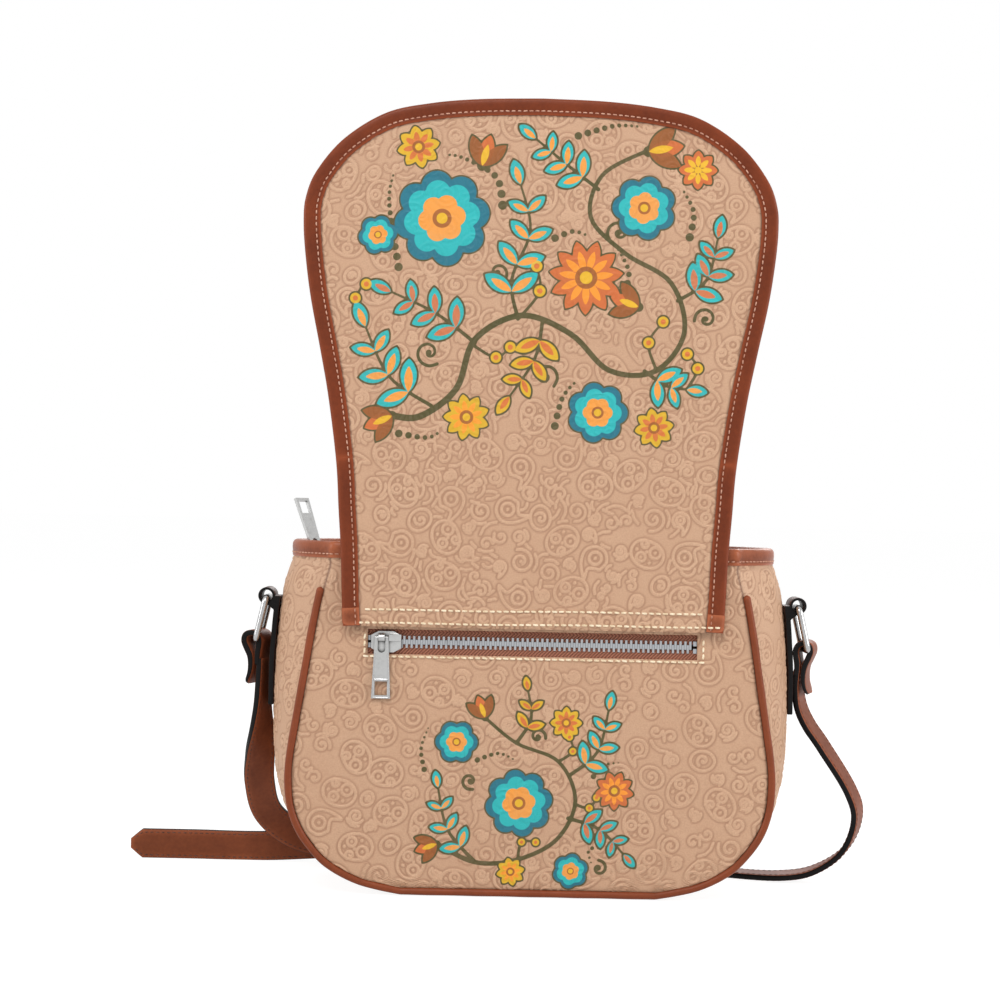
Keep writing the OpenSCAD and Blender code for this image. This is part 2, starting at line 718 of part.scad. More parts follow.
// Buckle: the short strap is folded round one cross bar, and the long strap passes under the other
frame_half = strap_w / 2 + buckle_r + seat * 2;
far_x = bar_x0 + buckle_l;
far_y = long_y + strap_t / 2 + buckle_r + seat;
module rail(z) {
    span = norm([far_x - bar_x0, far_y - short_y]);
    r = buckle_r + seat;
    translate([bar_x0, short_y, z - buckle_r])
        rotate([0, 0, atan2(far_y - short_y, far_x - bar_x0)]) linear_extrude(buckle_wire) {
            circle(r);
            translate([0, -r]) square([span, 2 * r]);
            translate([span, 0]) circle(r);
        }
}
module buckle_frame() {
    color("#b5b5b3") {
        for (z = [level_z - frame_half, level_z + frame_half])
            rail(z);
        for (p = [[bar_x0, short_y], [far_x, far_y]])
            translate([p.x, p.y, level_z - frame_half]) cylinder(h = 2 * frame_half, r = buckle_r);
    }
}
module buckle_prong() {
    loop_r = buckle_r + tooth_gap;
    y1 = far_y + buckle_r + seat + prong_r;
    color("#c4c4c2") {
        translate([bar_x0, short_y, level_z - prong_r]) difference() {
            cylinder(h = 2 * prong_r, r = loop_r + prong_r);
            translate([0, 0, -cut]) cylinder(h = 2 * prong_r + 2 * cut, r = loop_r);
        }
        bar_x(bar_x0 + loop_r + prong_r / 2, hole_x, short_y, level_z, prong_r);
        translate([hole_x, short_y, level_z]) sphere(prong_r);
        bar_y(short_y, y1, hole_x, level_z, prong_r);
        translate([hole_x, y1, level_z]) sphere(prong_r);
        bar_x(hole_x, far_x + buckle_r, y1, level_z, prong_r);
    }
}
keeper_t = 1.2;
keeper_l = 8;
keeper_gap = 0.3;
module keeper(x) {
    y0 = short_y - strap_t / 2 - keeper_gap;
    y1 = long_y + strap_t / 2 + keeper_gap;
    z0 = level_z - strap_w / 2 - keeper_gap;
    z1 = level_z + strap_w / 2 + keeper_gap;
    color("#6a3827") difference() {
        block([x - keeper_l / 2, y0 - keeper_t, z0 - keeper_t],
              [x + keeper_l / 2, y1 + keeper_t, z1 + keeper_t]);
        block([x - keeper_l, y0, z0], [x + keeper_l, y1, z1]);
    }
}
fixed_keeper_x = bar_x0 - keeper_l * 1.5;
sliding_keeper_x = fixed_keeper_x - keeper_l * 2.5;
module fixed_keeper() {
    keeper(fixed_keeper_x);
}
module sliding_keeper() {
    keeper(sliding_keeper_x);
}

// Flap. It is one sewn piece, divided at the two lines where it folds over the mouth.

flap_gap = mouth_binding_t + seat;
turned_h = 12;
flap_y = -face_y - flap_gap;
flap_core_t = flap_t + flap_lining_t;
flap_all_t = flap_core_t + 2 * flap_binding_t;
fold_lift = 1;
fold_h = body_h + fold_lift;
snap_t = 2.2;
flap_top_l = body_d + flap_gap + 2 * snap_t + seat - flap_binding_t;
fold_front_h = fold_h + flap_top_l;
flap_tip_h = flap_root_h + flap_len;

// Half of the flap's edge from below its sewn end, where it is cut off, to its tip,
// as shares of half its width and of its length
flap_shares = [
    [0.797, -0.08], [0.8, 0], [0.807, 0.05], [0.816, 0.146], [0.828, 0.22], [0.842, 0.309],
    [0.88, 0.43], [0.92, 0.5236],
    [0.9635, 0.619], [0.989, 0.7], [0.999, 0.76], [0.992, 0.805], [0.949, 0.855], [0.836, 0.917],
    [0.662, 0.967], [0.473, 0.987], [0.26, 0.9967], [0, 1]
];
flap_steps = 3;
half_flap = curve([for (s = flap_shares) [s[0] * flap_w / 2, flap_root_h + s[1] * flap_len]], flap_steps);
flap_edge = concat(half_flap, [for (i = [len(half_flap) - 2:-1:0]) [-half_flap[i].x, half_flap[i].y]]);

// A slice of the flap: an outline from depth a inside its outer face to depth b, between two heights
module flap_layer(inset, a, b, z0, z1) {
    y = flap_y - flap_all_t;
    intersection() {
        upright(y + a, b - a, grow(flap_edge, -inset));
        block([-flap_w, y - cut, z0], [flap_w, -inner_y, z1]);
    }
}
edge_wall = 1.2;
module flap_leather(z0, z1) {
    color("#c99f80")
        flap_layer(edge_wall, flap_binding_t, flap_binding_t + flap_t, z0, z1);
}
module flap_lining(z0, z1) {
    color("#8a6a52")
        flap_layer(edge_wall, flap_binding_t + flap_t, flap_binding_t + flap_core_t, z0, z1);
}
module flap_binding(z0, z1) {
    round_in = flap_binding_t;
    color("#82401f") difference() {
        union() {
            flap_layer(0, flap_binding_t / 2, flap_all_t - flap_binding_t / 2, z0, z1);
            flap_layer(round_in, 0, flap_all_t, z0, z1);
        }
        flap_layer(edge_wall, flap_binding_t, flap_binding_t + flap_core_t, z0 - cut, z1 + cut);
        flap_layer(flap_binding_w, -cut, flap_all_t + cut, z0 - cut, z1 + cut);
    }
}
module flap_base() {
    flap_leather(flap_root_h, fold_h);
    color("#c99f80")
        flap_layer(flap_binding_w + seat, flap_binding_t + flap_t, flap_all_t + flap_gap - seat,
                   flap_root_h, flap_root_h + turned_h);
}
module flap_top() {
    flap_leather(fold_h, fold_front_h);
}
module flap_front() {
    flap_leather(fold_front_h, flap_tip_h + cut);
}
module flap_lining_base() {
    flap_lining(flap_root_h + turned_h + seat, fold_h);
}
module flap_lining_top() {
    flap_lining(fold_h, fold_front_h);
}
module flap_lining_front() {
    flap_lining(fold_front_h, flap_tip_h + cut);
}
module flap_binding_base() {
    flap_binding(flap_root_h, fold_h);
}
module flap_binding_top() {
    flap_binding(fold_h, fold_front_h);
}
module flap_binding_front() {
    flap_binding(fold_front_h, flap_tip_h + cut);
}

// Magnet snap. The stud on the flap meets the socket when the flap is closed.
nub_r = 2.6;
nub_h = 1.2;
stud_h = flap_tip_h - snap_inset;
socket_h = fold_h - (stud_h - fold_front_h);
module snap_stud() {
    y = flap_y - flap_binding_t;
    color("#b5b5b3") {
        bar_y(y, y + snap_t, 0, stud_h, snap_d / 2);
        bar_y(y + snap_t, y + snap_t + nub_h, 0, stud_h, nub_r);
    }
}
module snap_socket() {
    color("#b5b5b3") difference() {
        bar_y(face_y, face_y + snap_t, 0, socket_h, snap_d / 2);
        bar_y(face_y + snap_t - nub_h - 2 * seat, face_y + snap_t + cut, 0, socket_h, nub_r + 2 * seat);
    }
}
module snap_washer() {
    color("#b5b5b3") difference() {
        bar_y(inner_y - lining_gap + seat, inner_y, 0, socket_h, snap_d / 2);
        bar_y(inner_y - lining_gap, inner_y + cut, 0, socket_h, nub_r);
    }
}

back_panel();
front_panel();
gusset();
back_welt();
front_welt();
top_binding();
base_board();
lining_back();
lining_front();
lining_gusset();
top_strip_back();
top_strip_front();
top_zip_tape();
top_zip_teeth();
top_zip_stops();
top_slider();
top_puller();
pocket_zip_tape();
pocket_zip_teeth();
pocket_zip_stops();
pocket_slider();
pocket_puller();
pocket_pouch();
tab_left();
tab_right();
ring_left();
ring_right();
strap_end_left();
strap_end_right();
short_strap();
long_strap();
buckle_frame();
buckle_prong();
fixed_keeper();
sliding_keeper();
flap_base();
flap_top();
flap_front();
flap_lining_base();
flap_lining_top();
flap_lining_front();
flap_binding_base();
flap_binding_top();
flap_binding_front();
snap_stud();
snap_socket();
snap_washer();
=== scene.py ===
"""Saddle handbag with its flap raised: the finish of every piece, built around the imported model.

Places are in metres in the model's frame: +Z is up, -Y points out of the back panel, and the origin
is on the floor under the middle of the bag. Sizes are written in millimetres, as the maker would.
"""

import logging
import math
import random
from dataclasses import dataclass, field
from enum import Enum
from typing import NamedTuple

import bmesh
import bpy
import numpy as np
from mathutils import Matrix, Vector
from mathutils.kdtree import KDTree


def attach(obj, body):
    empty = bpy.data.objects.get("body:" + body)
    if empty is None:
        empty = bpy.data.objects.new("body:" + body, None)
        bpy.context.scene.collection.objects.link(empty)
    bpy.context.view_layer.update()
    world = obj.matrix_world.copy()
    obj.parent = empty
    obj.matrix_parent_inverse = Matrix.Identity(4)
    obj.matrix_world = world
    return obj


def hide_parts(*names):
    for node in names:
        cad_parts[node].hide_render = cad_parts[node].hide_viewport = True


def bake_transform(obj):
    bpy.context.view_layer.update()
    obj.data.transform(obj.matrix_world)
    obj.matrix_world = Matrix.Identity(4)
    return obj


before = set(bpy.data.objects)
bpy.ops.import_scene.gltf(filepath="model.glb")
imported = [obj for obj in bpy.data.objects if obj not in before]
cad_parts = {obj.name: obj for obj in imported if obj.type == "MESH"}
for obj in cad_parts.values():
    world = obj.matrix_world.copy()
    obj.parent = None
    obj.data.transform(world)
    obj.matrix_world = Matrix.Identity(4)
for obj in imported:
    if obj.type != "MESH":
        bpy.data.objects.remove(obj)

LOG = logging.getLogger("handbag")
MM = 0.001
TO_BACK, TO_FRONT = (0.0, -1.0, 0.0), (0.0, 1.0, 0.0)
# A CAD copy's doubled points lie within WELD millimetres, its flat faces meet at less than FLAT_ANGLE
# degrees, and its edges to round are sharper than EDGE_ANGLE
WELD, FLAT_ANGLE, EDGE_ANGLE = 0.01, 2, 40

Obj = bpy.types.Object
Socket = bpy.types.NodeSocket
Node = bpy.types.Node
Rgb = tuple[float, float, float]
Point = tuple[float, float]
Place = tuple[float, float, float]


def srgb(red: float, green: float, blue: float) -> tuple[float, float, float, float]:
    """Turns a display colour of 0 to 255 into the linear colour that a shader takes.

    Args:
        red, green, blue: the display colour.

    Returns:
        The linear colour with its alpha.
    """
    def linear(value: float) -> float:
        """Undoes the display's curve."""
        share = value / 255
        return share / 12.92 if share <= 0.04045 else ((share + 0.055) / 1.055) ** 2.4
    return linear(red), linear(green), linear(blue), 1.0


# Curves


def smooth_curve(rows: np.ndarray, steps: int) -> np.ndarray:
    """Runs a smooth curve through points.

    Args:
        rows: the points, one in each row.
        steps: how many stretches each span is cut into.

    Returns:
        The points of the curve, one in each row.
    """
    rows = np.asarray(rows, float)
    ends = np.vstack([rows[:1], rows, rows[-1:]])
    t = np.arange(steps)[:, None] / steps
    spans = [
        (2 * b + (c - a) * t + (2 * a - 5 * b + 4 * c - d) * t**2 + (3 * b - a - 3 * c + d) * t**3) / 2
        for a, b, c, d in zip(ends[:-3], ends[1:-2], ends[2:-1], ends[3:])
    ]
    return np.vstack(spans + [rows[-1:]])


def lengths_along(path: np.ndarray) -> np.ndarray:
    """Gives the distance of each point of a path from its start, along the path."""
    return np.concatenate([[0.0], np.cumsum(np.linalg.norm(np.diff(path, axis=0), axis=1))])


def at_lengths(path: np.ndarray, places: np.ndarray) -> np.ndarray:
    """Gives the points of a path that lie at these distances from its start."""
    along = lengths_along(path)
    return np.stack([np.interp(places, along, path[:, k]) for k in range(path.shape[1])], axis=1)


def evenly(path: np.ndarray, count: int) -> np.ndarray:
    """Gives count + 1 points at even distances along a path."""
    return at_lengths(path, np.linspace(0, lengths_along(path)[-1], count + 1))


def directions(path: np.ndarray, closed: bool = False) -> np.ndarray:
    """Gives the unit direction of a path at each of its points.

    Args:
        path: the points.
        closed: whether the last point joins the first.

    Returns:
        One unit vector for each point.
    """
    if closed:
        step = np.roll(path, -1, axis=0) - np.roll(path, 1, axis=0)
    else:
        step = np.gradient(path, axis=0)
    return step / np.linalg.norm(step, axis=1, keepdims=True)


def nearest(points: np.ndarray, line: np.ndarray) -> np.ndarray:
    """Gives how far each point lies from the nearest point of a line.

    Args:
        points: the places asked about, two coordinates in each row.
        line: the points of the line, at close distances.

    Returns:
        One distance for each row of points.
    """
    tree = KDTree(len(line))
    for k, (x, y) in enumerate(np.asarray(line).tolist()):
        tree.insert((x, y, 0), k)
    tree.balance()
    return np.array([tree.find((x, y, 0))[2] for x, y in np.asarray(points).tolist()])


def beside(way: np.ndarray) -> np.ndarray:
    """Gives the unit direction to the right of each direction on a plane."""
    return np.stack([way[:, 1], -way[:, 0]], axis=1)


def set_off(line: np.ndarray, normal: np.ndarray, by: np.ndarray) -> tuple[np.ndarray, np.ndarray]:
    """Gives both coordinates of the points that stand off a line on a plane by some distances.

    Args:
        line: the points of the line, one in each row.
        normal: the direction in which each one is moved.
        by: the distances, one in each column.

    Returns:
        The first and the second coordinates, with a row for each point of the line.
    """
    first, second = (line[:, k:k + 1] + normal[:, k:k + 1] * by for k in (0, 1))
    return first, second


def fading(distance: np.ndarray, width: float) -> np.ndarray:
    """Gives 1 at an edge and outside it, and falls to 0 over about twice this width inside it."""
    return np.exp(-((np.clip(distance, 0, None) / width) ** 2))


def in_metres(x: np.ndarray, y: np.ndarray, z: np.ndarray) -> np.ndarray:
    """Joins coordinates in millimetres, also of unlike shapes that fit together, to points in metres."""
    return np.stack(np.broadcast_arrays(x, y, z), axis=-1) * MM


# Meshes


def add_mesh(name: str, verts: np.ndarray, faces: list) -> Obj:
    """Makes a mesh object from points and faces, with its faces turned outwards.

    Args:
        name: the piece's name.
        verts: its points in millimetres.
        faces: their numbers, face by face.

    Returns:
        The object.
    """
    mesh = bpy.data.meshes.new(name)
    mesh.from_pydata(np.asarray(verts, float).tolist(), [], faces)
    mesh.validate()
    obj = bpy.data.objects.new(name, mesh)
    bpy.context.scene.collection.objects.link(obj)
    turn_outwards(obj)
    return obj


def turn_outwards(obj: Obj) -> None:
    """Turns all faces of a closed mesh outwards.

    Args:
        obj: the closed piece.
    """
    work = bmesh.new()
    work.from_mesh(obj.data)
    bmesh.ops.recalc_face_normals(work, faces=work.faces)
    work.to_mesh(obj.data)
    work.free()


def only(obj: Obj) -> None:
    """Selects one object alone and makes it active.

    Args:
        obj: the object to select.
    """
    bpy.ops.object.select_all(action="DESELECT")
    obj.select_set(True)
    bpy.context.view_layer.objects.active = obj


def apply_modifier(obj: Obj, kind: str, **values: object) -> None:
    """Adds a modifier with these values and applies it.

    Args:
        obj: the object.
        kind: Blender's name of the modifier.
        values: its settings.
    """
    only(obj)
    modifier = obj.modifiers.new(kind.lower(), kind)
    for key, value in values.items():
        setattr(modifier, key, value)
    bpy.ops.object.modifier_apply(modifier=modifier.name)


def smooth(obj: Obj, degrees: float = 35) -> Obj:
    """Shades an object smooth, with its sharper edges kept.

    Args:
        obj: the object.
        degrees: the sharpest angle that is smoothed.

    Returns:
        The object.
    """
    only(obj)
    bpy.ops.object.shade_smooth_by_angle(angle=math.radians(degrees))
    return obj


def mark(obj: Obj, key: str, values: np.ndarray, domain: str = "POINT") -> None:
    """Keeps a number at each point or face of a mesh, as an attribute that the materials read."""
    obj.data.attributes.new(key, "FLOAT", domain).data.foreach_set("value", values)


def sweep(name: str, rings: np.ndarray, closed: bool = False, edge: np.ndarray | None = None) -> Obj:
    """Joins rings of points into one closed solid.

    Args:
        name: the new object's name.
        rings: an array of rings, of points, of coordinates in metres.
        closed: whether the last ring joins the first. Open ends get a face each.
        edge: how dark each point of a ring is painted, as the black of a painted cut edge, and as painted
            shade along a seam.

    Returns:
        The new object.
    """
    count, corners = rings.shape[:2]
    index = np.arange(count * corners).reshape(count, corners)
    rows = index if not closed else np.vstack([index, index[:1]])
    side = np.roll(rows, -1, axis=1)
    faces = np.stack([rows[:-1], side[:-1], side[1:], rows[1:]], axis=-1).reshape(-1, 4).tolist()
    if not closed:
        faces += [index[0].tolist()[::-1], index[-1].tolist()]
    obj = add_mesh(name, rings.reshape(-1, 3), faces)
    if edge is not None:
        mark(obj, "edge", np.tile(edge.astype(np.float32), count))
    return obj


@dataclass
class Shell:
    """A sheet of leather or cloth: a fine face, a coarse back, and walls that join them.

    Args:
        name: the piece's name.
        front: rows and columns of points, in metres.
        back: the same surface's other side, with a point for every step-th row and column.
        step: how many fine cells one coarse cell takes, each way.
        holes: which coarse cells are left out.
        values: numbers at the fine face's points, kept as attributes of the mesh.
    """

    name: str
    front: np.ndarray
    back: np.ndarray
    step: int
    holes: np.ndarray | None = None
    values: dict[str, np.ndarray] = field(default_factory=dict)

    def build(self) -> Obj:
        """Makes the closed mesh, with its values as point attributes.

        Returns:
            The mesh object.
        """
        rows, cols = self.front.shape[0] - 1, self.front.shape[1] - 1
        step = self.step
        solid = np.ones((rows // step, cols // step), bool) if self.holes is None else ~self.holes
        fine = np.arange((rows + 1) * (cols + 1)).reshape(rows + 1, cols + 1)
        coarse = fine.size + np.arange(self.back.shape[0] * self.back.shape[1]).reshape(self.back.shape[:2])
        cells = np.kron(solid, np.ones((step, step), bool)).astype(bool)
        faces = self._quads(fine, cells) + self._quads(coarse, solid) + self._walls(fine, coarse, solid)
        verts = np.vstack([self.front.reshape(-1, 3), self.back.reshape(-1, 3)])
        used = np.unique(np.concatenate([np.asarray(f) for f in faces]))
        renumber = np.full(len(verts), -1)
        renumber[used] = np.arange(len(used))
        obj = add_mesh(self.name, verts[used], [renumber[f].tolist() for f in map(np.asarray, faces)])
        for key, numbers in self.values.items():
            whole = np.full(len(verts), numbers.min(), np.float32)
            whole[: fine.size] = numbers.reshape(-1)
            mark(obj, key, whole[used])
        return smooth(obj, 50)

    @staticmethod
    def _quads(index: np.ndarray, solid: np.ndarray) -> list:
        """Gives the four-sided faces of the cells that are solid."""
        corners = np.stack([index[:-1, :-1], index[:-1, 1:], index[1:, 1:], index[1:, :-1]], axis=-1)
        return list(corners[solid])

    def _walls(self, fine: np.ndarray, coarse: np.ndarray, solid: np.ndarray) -> list:
        """Gives the faces that close the rims between the fine and the coarse side.

        Args:
            fine: the numbers of the fine side's points.
            coarse: those of the coarse side's.
            solid: the cells that the shell has.

        Returns:
            The faces.
        """
        ringed = np.pad(solid, 1)
        walls = []
        step = self.step
        for i, j in zip(*np.nonzero(solid)):
            top, left = i * step, j * step
            across, down = slice(left, left + step + 1), slice(top, top + step + 1)
            sides = (
                (ringed[i, j + 1], fine[top, across], coarse[i, j + 1], coarse[i, j]),
                (ringed[i + 2, j + 1], fine[top + step, across], coarse[i + 1, j + 1], coarse[i + 1, j]),
                (ringed[i + 1, j], fine[down, left], coarse[i + 1, j], coarse[i, j]),
                (ringed[i + 1, j + 2], fine[down, left + step], coarse[i + 1, j + 1], coarse[i, j + 1]),
            )
            walls += [np.append(edge, [far, near]) for met, edge, far, near in sides if not met]
        return walls


def softened(node: str, name: str, width: float, segments: int = 2) -> Obj:
    """Copies a CAD node and rounds its edges.

    Args:
        node: the node's name, which the copy replaces.
        name: the copy's name.
        width: how far the rounding reaches from an edge, in millimetres.
        segments: how many faces the rounding has.

    Returns:
        The new object.
    """
    obj = bpy.data.objects.new(name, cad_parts[node].data.copy())
    bpy.context.scene.collection.objects.link(obj)
    obj.data.materials.clear()
    only(obj)
    bpy.ops.mesh.customdata_custom_splitnormals_clear()
    bpy.ops.object.mode_set(mode="EDIT")
    bpy.ops.mesh.select_all(action="SELECT")
    bpy.ops.mesh.remove_doubles(threshold=WELD * MM)
    bpy.ops.mesh.dissolve_limited(angle_limit=math.radians(FLAT_ANGLE))
    bpy.ops.object.mode_set(mode="OBJECT")
    apply_modifier(obj, "BEVEL", width=width * MM, segments=segments, limit_method="ANGLE",
                   angle_limit=math.radians(EDGE_ANGLE), use_clamp_overlap=True)
    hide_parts(node)
    return smooth(obj, EDGE_ANGLE)


# Shader nodes


class Nodes:
    """Writes the nodes of one material or node group."""

    def __init__(self, tree: bpy.types.NodeTree) -> None:
        """Starts on a tree."""
        self.tree = tree

    def feed(self, node: Node, inputs: dict) -> None:
        """Gives a node's inputs, by their names or numbers, plain values or links from sockets.

        Args:
            node: the node to feed.
            inputs: what each of its inputs gets.
        """
        for key, value in inputs.items():
            if isinstance(value, Socket):
                self.tree.links.new(value, node.inputs[key])
            else:
                node.inputs[key].default_value = value

    def add(self, kind: str, inputs: dict | None = None, **settings: object) -> Node:
        """Adds a node.

        Args:
            kind: the node's type, without its leading word.
            inputs: values or sockets for the inputs, by their names or numbers.
            settings: the node's own settings.

        Returns:
            The node.
        """
        node = self.tree.nodes.new("ShaderNode" + kind)
        for key, value in settings.items():
            setattr(node, key, value)
        self.feed(node, inputs or {})
        return node

    def math(self, operation: str, a: object, b: object = 0.0, c: object = 0.0) -> Socket:
        """Adds a sum of up to three values and gives its result."""
        return self.add("Math", {0: a, 1: b, 2: c}, operation=operation).outputs[0]

    def blend(self, share: object, a: Socket | Rgb, b: Socket | Rgb) -> Socket:
        """Mixes two colours, given by sockets or as display colours."""
        a, b = (colour if isinstance(colour, Socket) else srgb(*colour) for colour in (a, b))
        return self.add("Mix", {0: share, 6: a, 7: b}, data_type="RGBA").outputs[2]

    def spread(self, value: Socket, low: float, high: float, to_low: float = 0.0,
               to_high: float = 1.0) -> Socket:
        """Maps a value from one range to another, held inside it."""
        return self.add("MapRange", {"Value": value, "From Min": low, "From Max": high,
                                     "To Min": to_low, "To Max": to_high}).outputs[0]

    def noise(self, vector: Socket, scale: float, detail: float = 3.0, rough: float = 0.5) -> Socket:
        """Adds a noise and gives its value."""
        inputs = {"Vector": vector, "Scale": scale, "Detail": detail, "Roughness": rough}
        return self.add("TexNoise", inputs).outputs[0]

    def place(self) -> Socket:
        """Gives the place on the piece, in metres."""
        return self.add("TexCoord").outputs["Object"]

    def marked(self, key: str) -> Socket:
        """Gives the number that the mesh keeps under a name."""
        return self.add("Attribute", attribute_name=key).outputs["Fac"]

    def group(self, tree: bpy.types.NodeTree, inputs: dict) -> bpy.types.bpy_prop_collection:
        """Places a node group and gives its outputs."""
        return self.add("Group", inputs, node_tree=tree).outputs

    def surface(self, shader: Node, colour: Socket, height: Socket, depth: float, rough: object,
                **others: float) -> None:
        """Joins a material's results to its shader.

        Args:
            shader: the material's shader.
            colour: its colour.
            height: its relief, as shares of the depth.
            depth: the depth of its relief in millimetres.
            rough: its roughness.
            others: plain values of the shader's other inputs, with _ for a blank in their names.
        """
        bump = self.add("Bump", {"Height": height, "Distance": depth * MM, "Strength": 1.0})
        self.feed(shader, {"Base Color": colour, "Normal": bump.outputs[0], "Roughness": rough})
        self.feed(shader, {key.replace("_", " "): value for key, value in others.items()})


def new_group(name: str, inputs: dict[str, str], outputs: dict[str, str]) -> tuple:
    """Starts a node group.

    Args:
        name: the group's name.
        inputs: the socket type of each input.
        outputs: the socket type of each output.

    Returns:
        The group, its writer, its input sockets and its output node.
    """
    tree = bpy.data.node_groups.new(name, "ShaderNodeTree")
    for key, kind in inputs.items():
        tree.interface.new_socket(key, in_out="INPUT", socket_type="NodeSocket" + kind)
    for key, kind in outputs.items():
        tree.interface.new_socket(key, in_out="OUTPUT", socket_type="NodeSocket" + kind)
    entry = tree.nodes.new("NodeGroupInput")
    leave = tree.nodes.new("NodeGroupOutput")
    return tree, Nodes(tree), entry.outputs, leave.inputs


def grain_group() -> bpy.types.NodeTree:
    """Makes the grain of leather: small pebbles, fine creases and slow mottling.

    Returns:
        The node group.
    """
    tree, nodes, given, out = new_group(
        "leather_grain", {"Vector": "Vector", "Pebble": "Float"}, {"Height": "Float", "Mottle": "Float"})
    pebble = nodes.add("TexVoronoi", {"Vector": given["Vector"], "Scale": given["Pebble"]},
                       feature="SMOOTH_F1")
    creases = nodes.noise(given["Vector"], 900.0, 4.0, 0.6)
    height = nodes.math("MULTIPLY_ADD", pebble.outputs["Distance"], -0.7, creases)
    tree.links.new(height, out["Height"])
    slow = nodes.noise(given["Vector"], 38.0, 4.0, 0.62)
    fine = nodes.noise(given["Vector"], 520.0, 2.0, 0.5)
    tree.links.new(nodes.math("MULTIPLY_ADD", fine, 0.35, slow), out["Mottle"])
    return tree


def weave_group() -> bpy.types.NodeTree:
    """Makes a plain weave on the piece's own X, Y and Z.

    Returns:
        The node group.
    """
    tree, nodes, given, out = new_group(
        "plain_weave", {"Vector": "Vector", "Threads": "Float"}, {"Height": "Float", "Tone": "Float"})
    part = nodes.add("SeparateXYZ", {0: given["Vector"]}).outputs
    up = nodes.math("ADD", part["Y"], part["Z"])
    warp = nodes.math("SINE", nodes.math("MULTIPLY", part["X"], given["Threads"]))
    weft = nodes.math("SINE", nodes.math("MULTIPLY", up, given["Threads"]))
    tree.links.new(nodes.math("MULTIPLY", warp, weft), out["Height"])
    tree.links.new(nodes.noise(given["Vector"], 160.0, 4.0, 0.6), out["Tone"])
    return tree


def brush_group() -> bpy.types.NodeTree:
    """Makes the fine scratches and the smudges of handled metal.

    Returns:
        The node group.
    """
    tree, nodes, given, out = new_group(
        "handled_metal", {"Vector": "Vector"}, {"Scratch": "Float", "Smudge": "Float"})
    drawn = nodes.add("Mapping", {"Vector": given["Vector"], "Scale": (9000.0, 9000.0, 500.0)})
    tree.links.new(nodes.noise(drawn.outputs[0], 1.0, 2.0, 0.5), out["Scratch"])
    tree.links.new(nodes.noise(given["Vector"], 260.0, 4.0, 0.65), out["Smudge"])
    return tree


class Finish(Enum):
    """The finishes that the pieces of the bag take, with their materials' names."""

    PANEL = "embossed_leather"
    PRINTED = "printed_leather"
    BINDING = "binding_leather"
    WORN = "binding_ends"
    PIPING = "piping_leather"
    STRAP = "strap_leather"
    TAB = "tab_leather"
    CREAM = "cream_thread"
    BLUSH = "blush_thread"
    BROWN = "brown_thread"
    TAPE = "zip_tape"
    TEETH = "zip_metal"
    SILVER = "puller_metal"
    NICKEL = "nickel"
    LINING = "lining_cloth"
    BOARD = "stiff_board"


class Ink(Enum):
    """The inks of the printed flowers, in the order in which they are laid."""

    OUTLINE = "ink_outline"
    TEAL = "ink_teal"
    TURQUOISE = "ink_turquoise"
    MUSTARD = "ink_mustard"
    RUST = "ink_rust"
    ORANGE = "ink_orange"
    BROWN = "ink_brown"
    SEED = "ink_seed"


INK_RGB: dict[Ink, Rgb] = {
    Ink.OUTLINE: (66, 66, 28), Ink.TEAL: (30, 112, 132), Ink.TURQUOISE: (44, 178, 178),
    Ink.RUST: (204, 108, 58), Ink.ORANGE: (238, 150, 50), Ink.MUSTARD: (218, 172, 44),
    Ink.BROWN: (150, 88, 44), Ink.SEED: (226, 178, 46),
}


# The node groups that the finishes share, each built once
GRAIN, WEAVE, BRUSH = grain_group(), weave_group(), brush_group()


@dataclass(frozen=True)
class TooledLeather:
    """Tan tooled leather: hollows painted darker and ridges lighter, partly an antique stain and partly
    painted shade and light of the relief, and inks where it is printed.
    """

    printed: bool
    # The hollows' colour is partly an antique stain and partly painted shade in the grooves; the ridges'
    # colour is partly painted light
    hollow_shade: Rgb = (162, 123, 97)
    ridge: Rgb = (205, 167, 137)
    stain: Rgb = (184, 143, 114)
    speck: Rgb = (175, 135, 107)
    # The seam colour is painted shade, laid on the leather beside the piping and the binding
    seam: Rgb = (84, 50, 34)
    pebble: float = 1400.0
    depth: float = 0.13

    def paint(self, nodes: Nodes, shader: Node) -> None:
        """Writes the finish into a material with this shader.

        Args:
            nodes: the material's nodes.
            shader: its shader.
        """
        place = nodes.place()
        grain = nodes.group(GRAIN, {"Vector": place, "Pebble": self.pebble})
        # Painted shade and light: the relief's grooves are painted darker and its ridges lighter, partly as
        # an antique stain
        raised = nodes.spread(nodes.marked("relief"), -0.15, 0.04)
        tone = nodes.blend(raised, self.hollow_shade, self.ridge)
        stained = nodes.spread(grain["Mottle"], 0.45, 0.95)
        tone = nodes.blend(nodes.math("MULTIPLY", stained, 0.4), tone, self.stain)
        speckle = nodes.spread(nodes.noise(place, 1250.0, 2.0, 0.6), 0.38, 0.66, 0.0, 0.42)
        tone = nodes.blend(speckle, tone, self.speck)
        if self.printed:
            tone = self.inked(nodes, tone, grain["Mottle"])
        # Painted shade: the leather darkens beside the piping and the binding, by its seam value
        seam_shade = nodes.math("MULTIPLY", nodes.marked("seam"), 0.75)
        tone = nodes.blend(seam_shade, tone, self.seam)
        height = nodes.math("MULTIPLY_ADD", nodes.noise(place, 1500.0, 3.0, 0.6), 0.8, grain["Height"])
        nodes.surface(shader, tone, height, self.depth, nodes.spread(raised, 0, 1, 0.66, 0.52),
                      Specular_IOR_Level=0.35)

    @staticmethod
    def inked(nodes: Nodes, tone: Socket, mottle: Socket) -> Socket:
        """Lays the inks over the leather's colour, thinner where it is rubbed, and gives the result.

        Args:
            nodes: the material's nodes.
            tone: the leather's colour.
            mottle: the grain's mottling.

        Returns:
            The inked colour.
        """
        rubbed = nodes.spread(mottle, 0.35, 0.9, 1.0, 0.86)
        for ink in Ink:
            cover = nodes.math("MULTIPLY", nodes.spread(nodes.marked(ink.value), -0.14, 0.14), rubbed)
            tone = nodes.blend(cover, tone, INK_RGB[ink])
        return tone


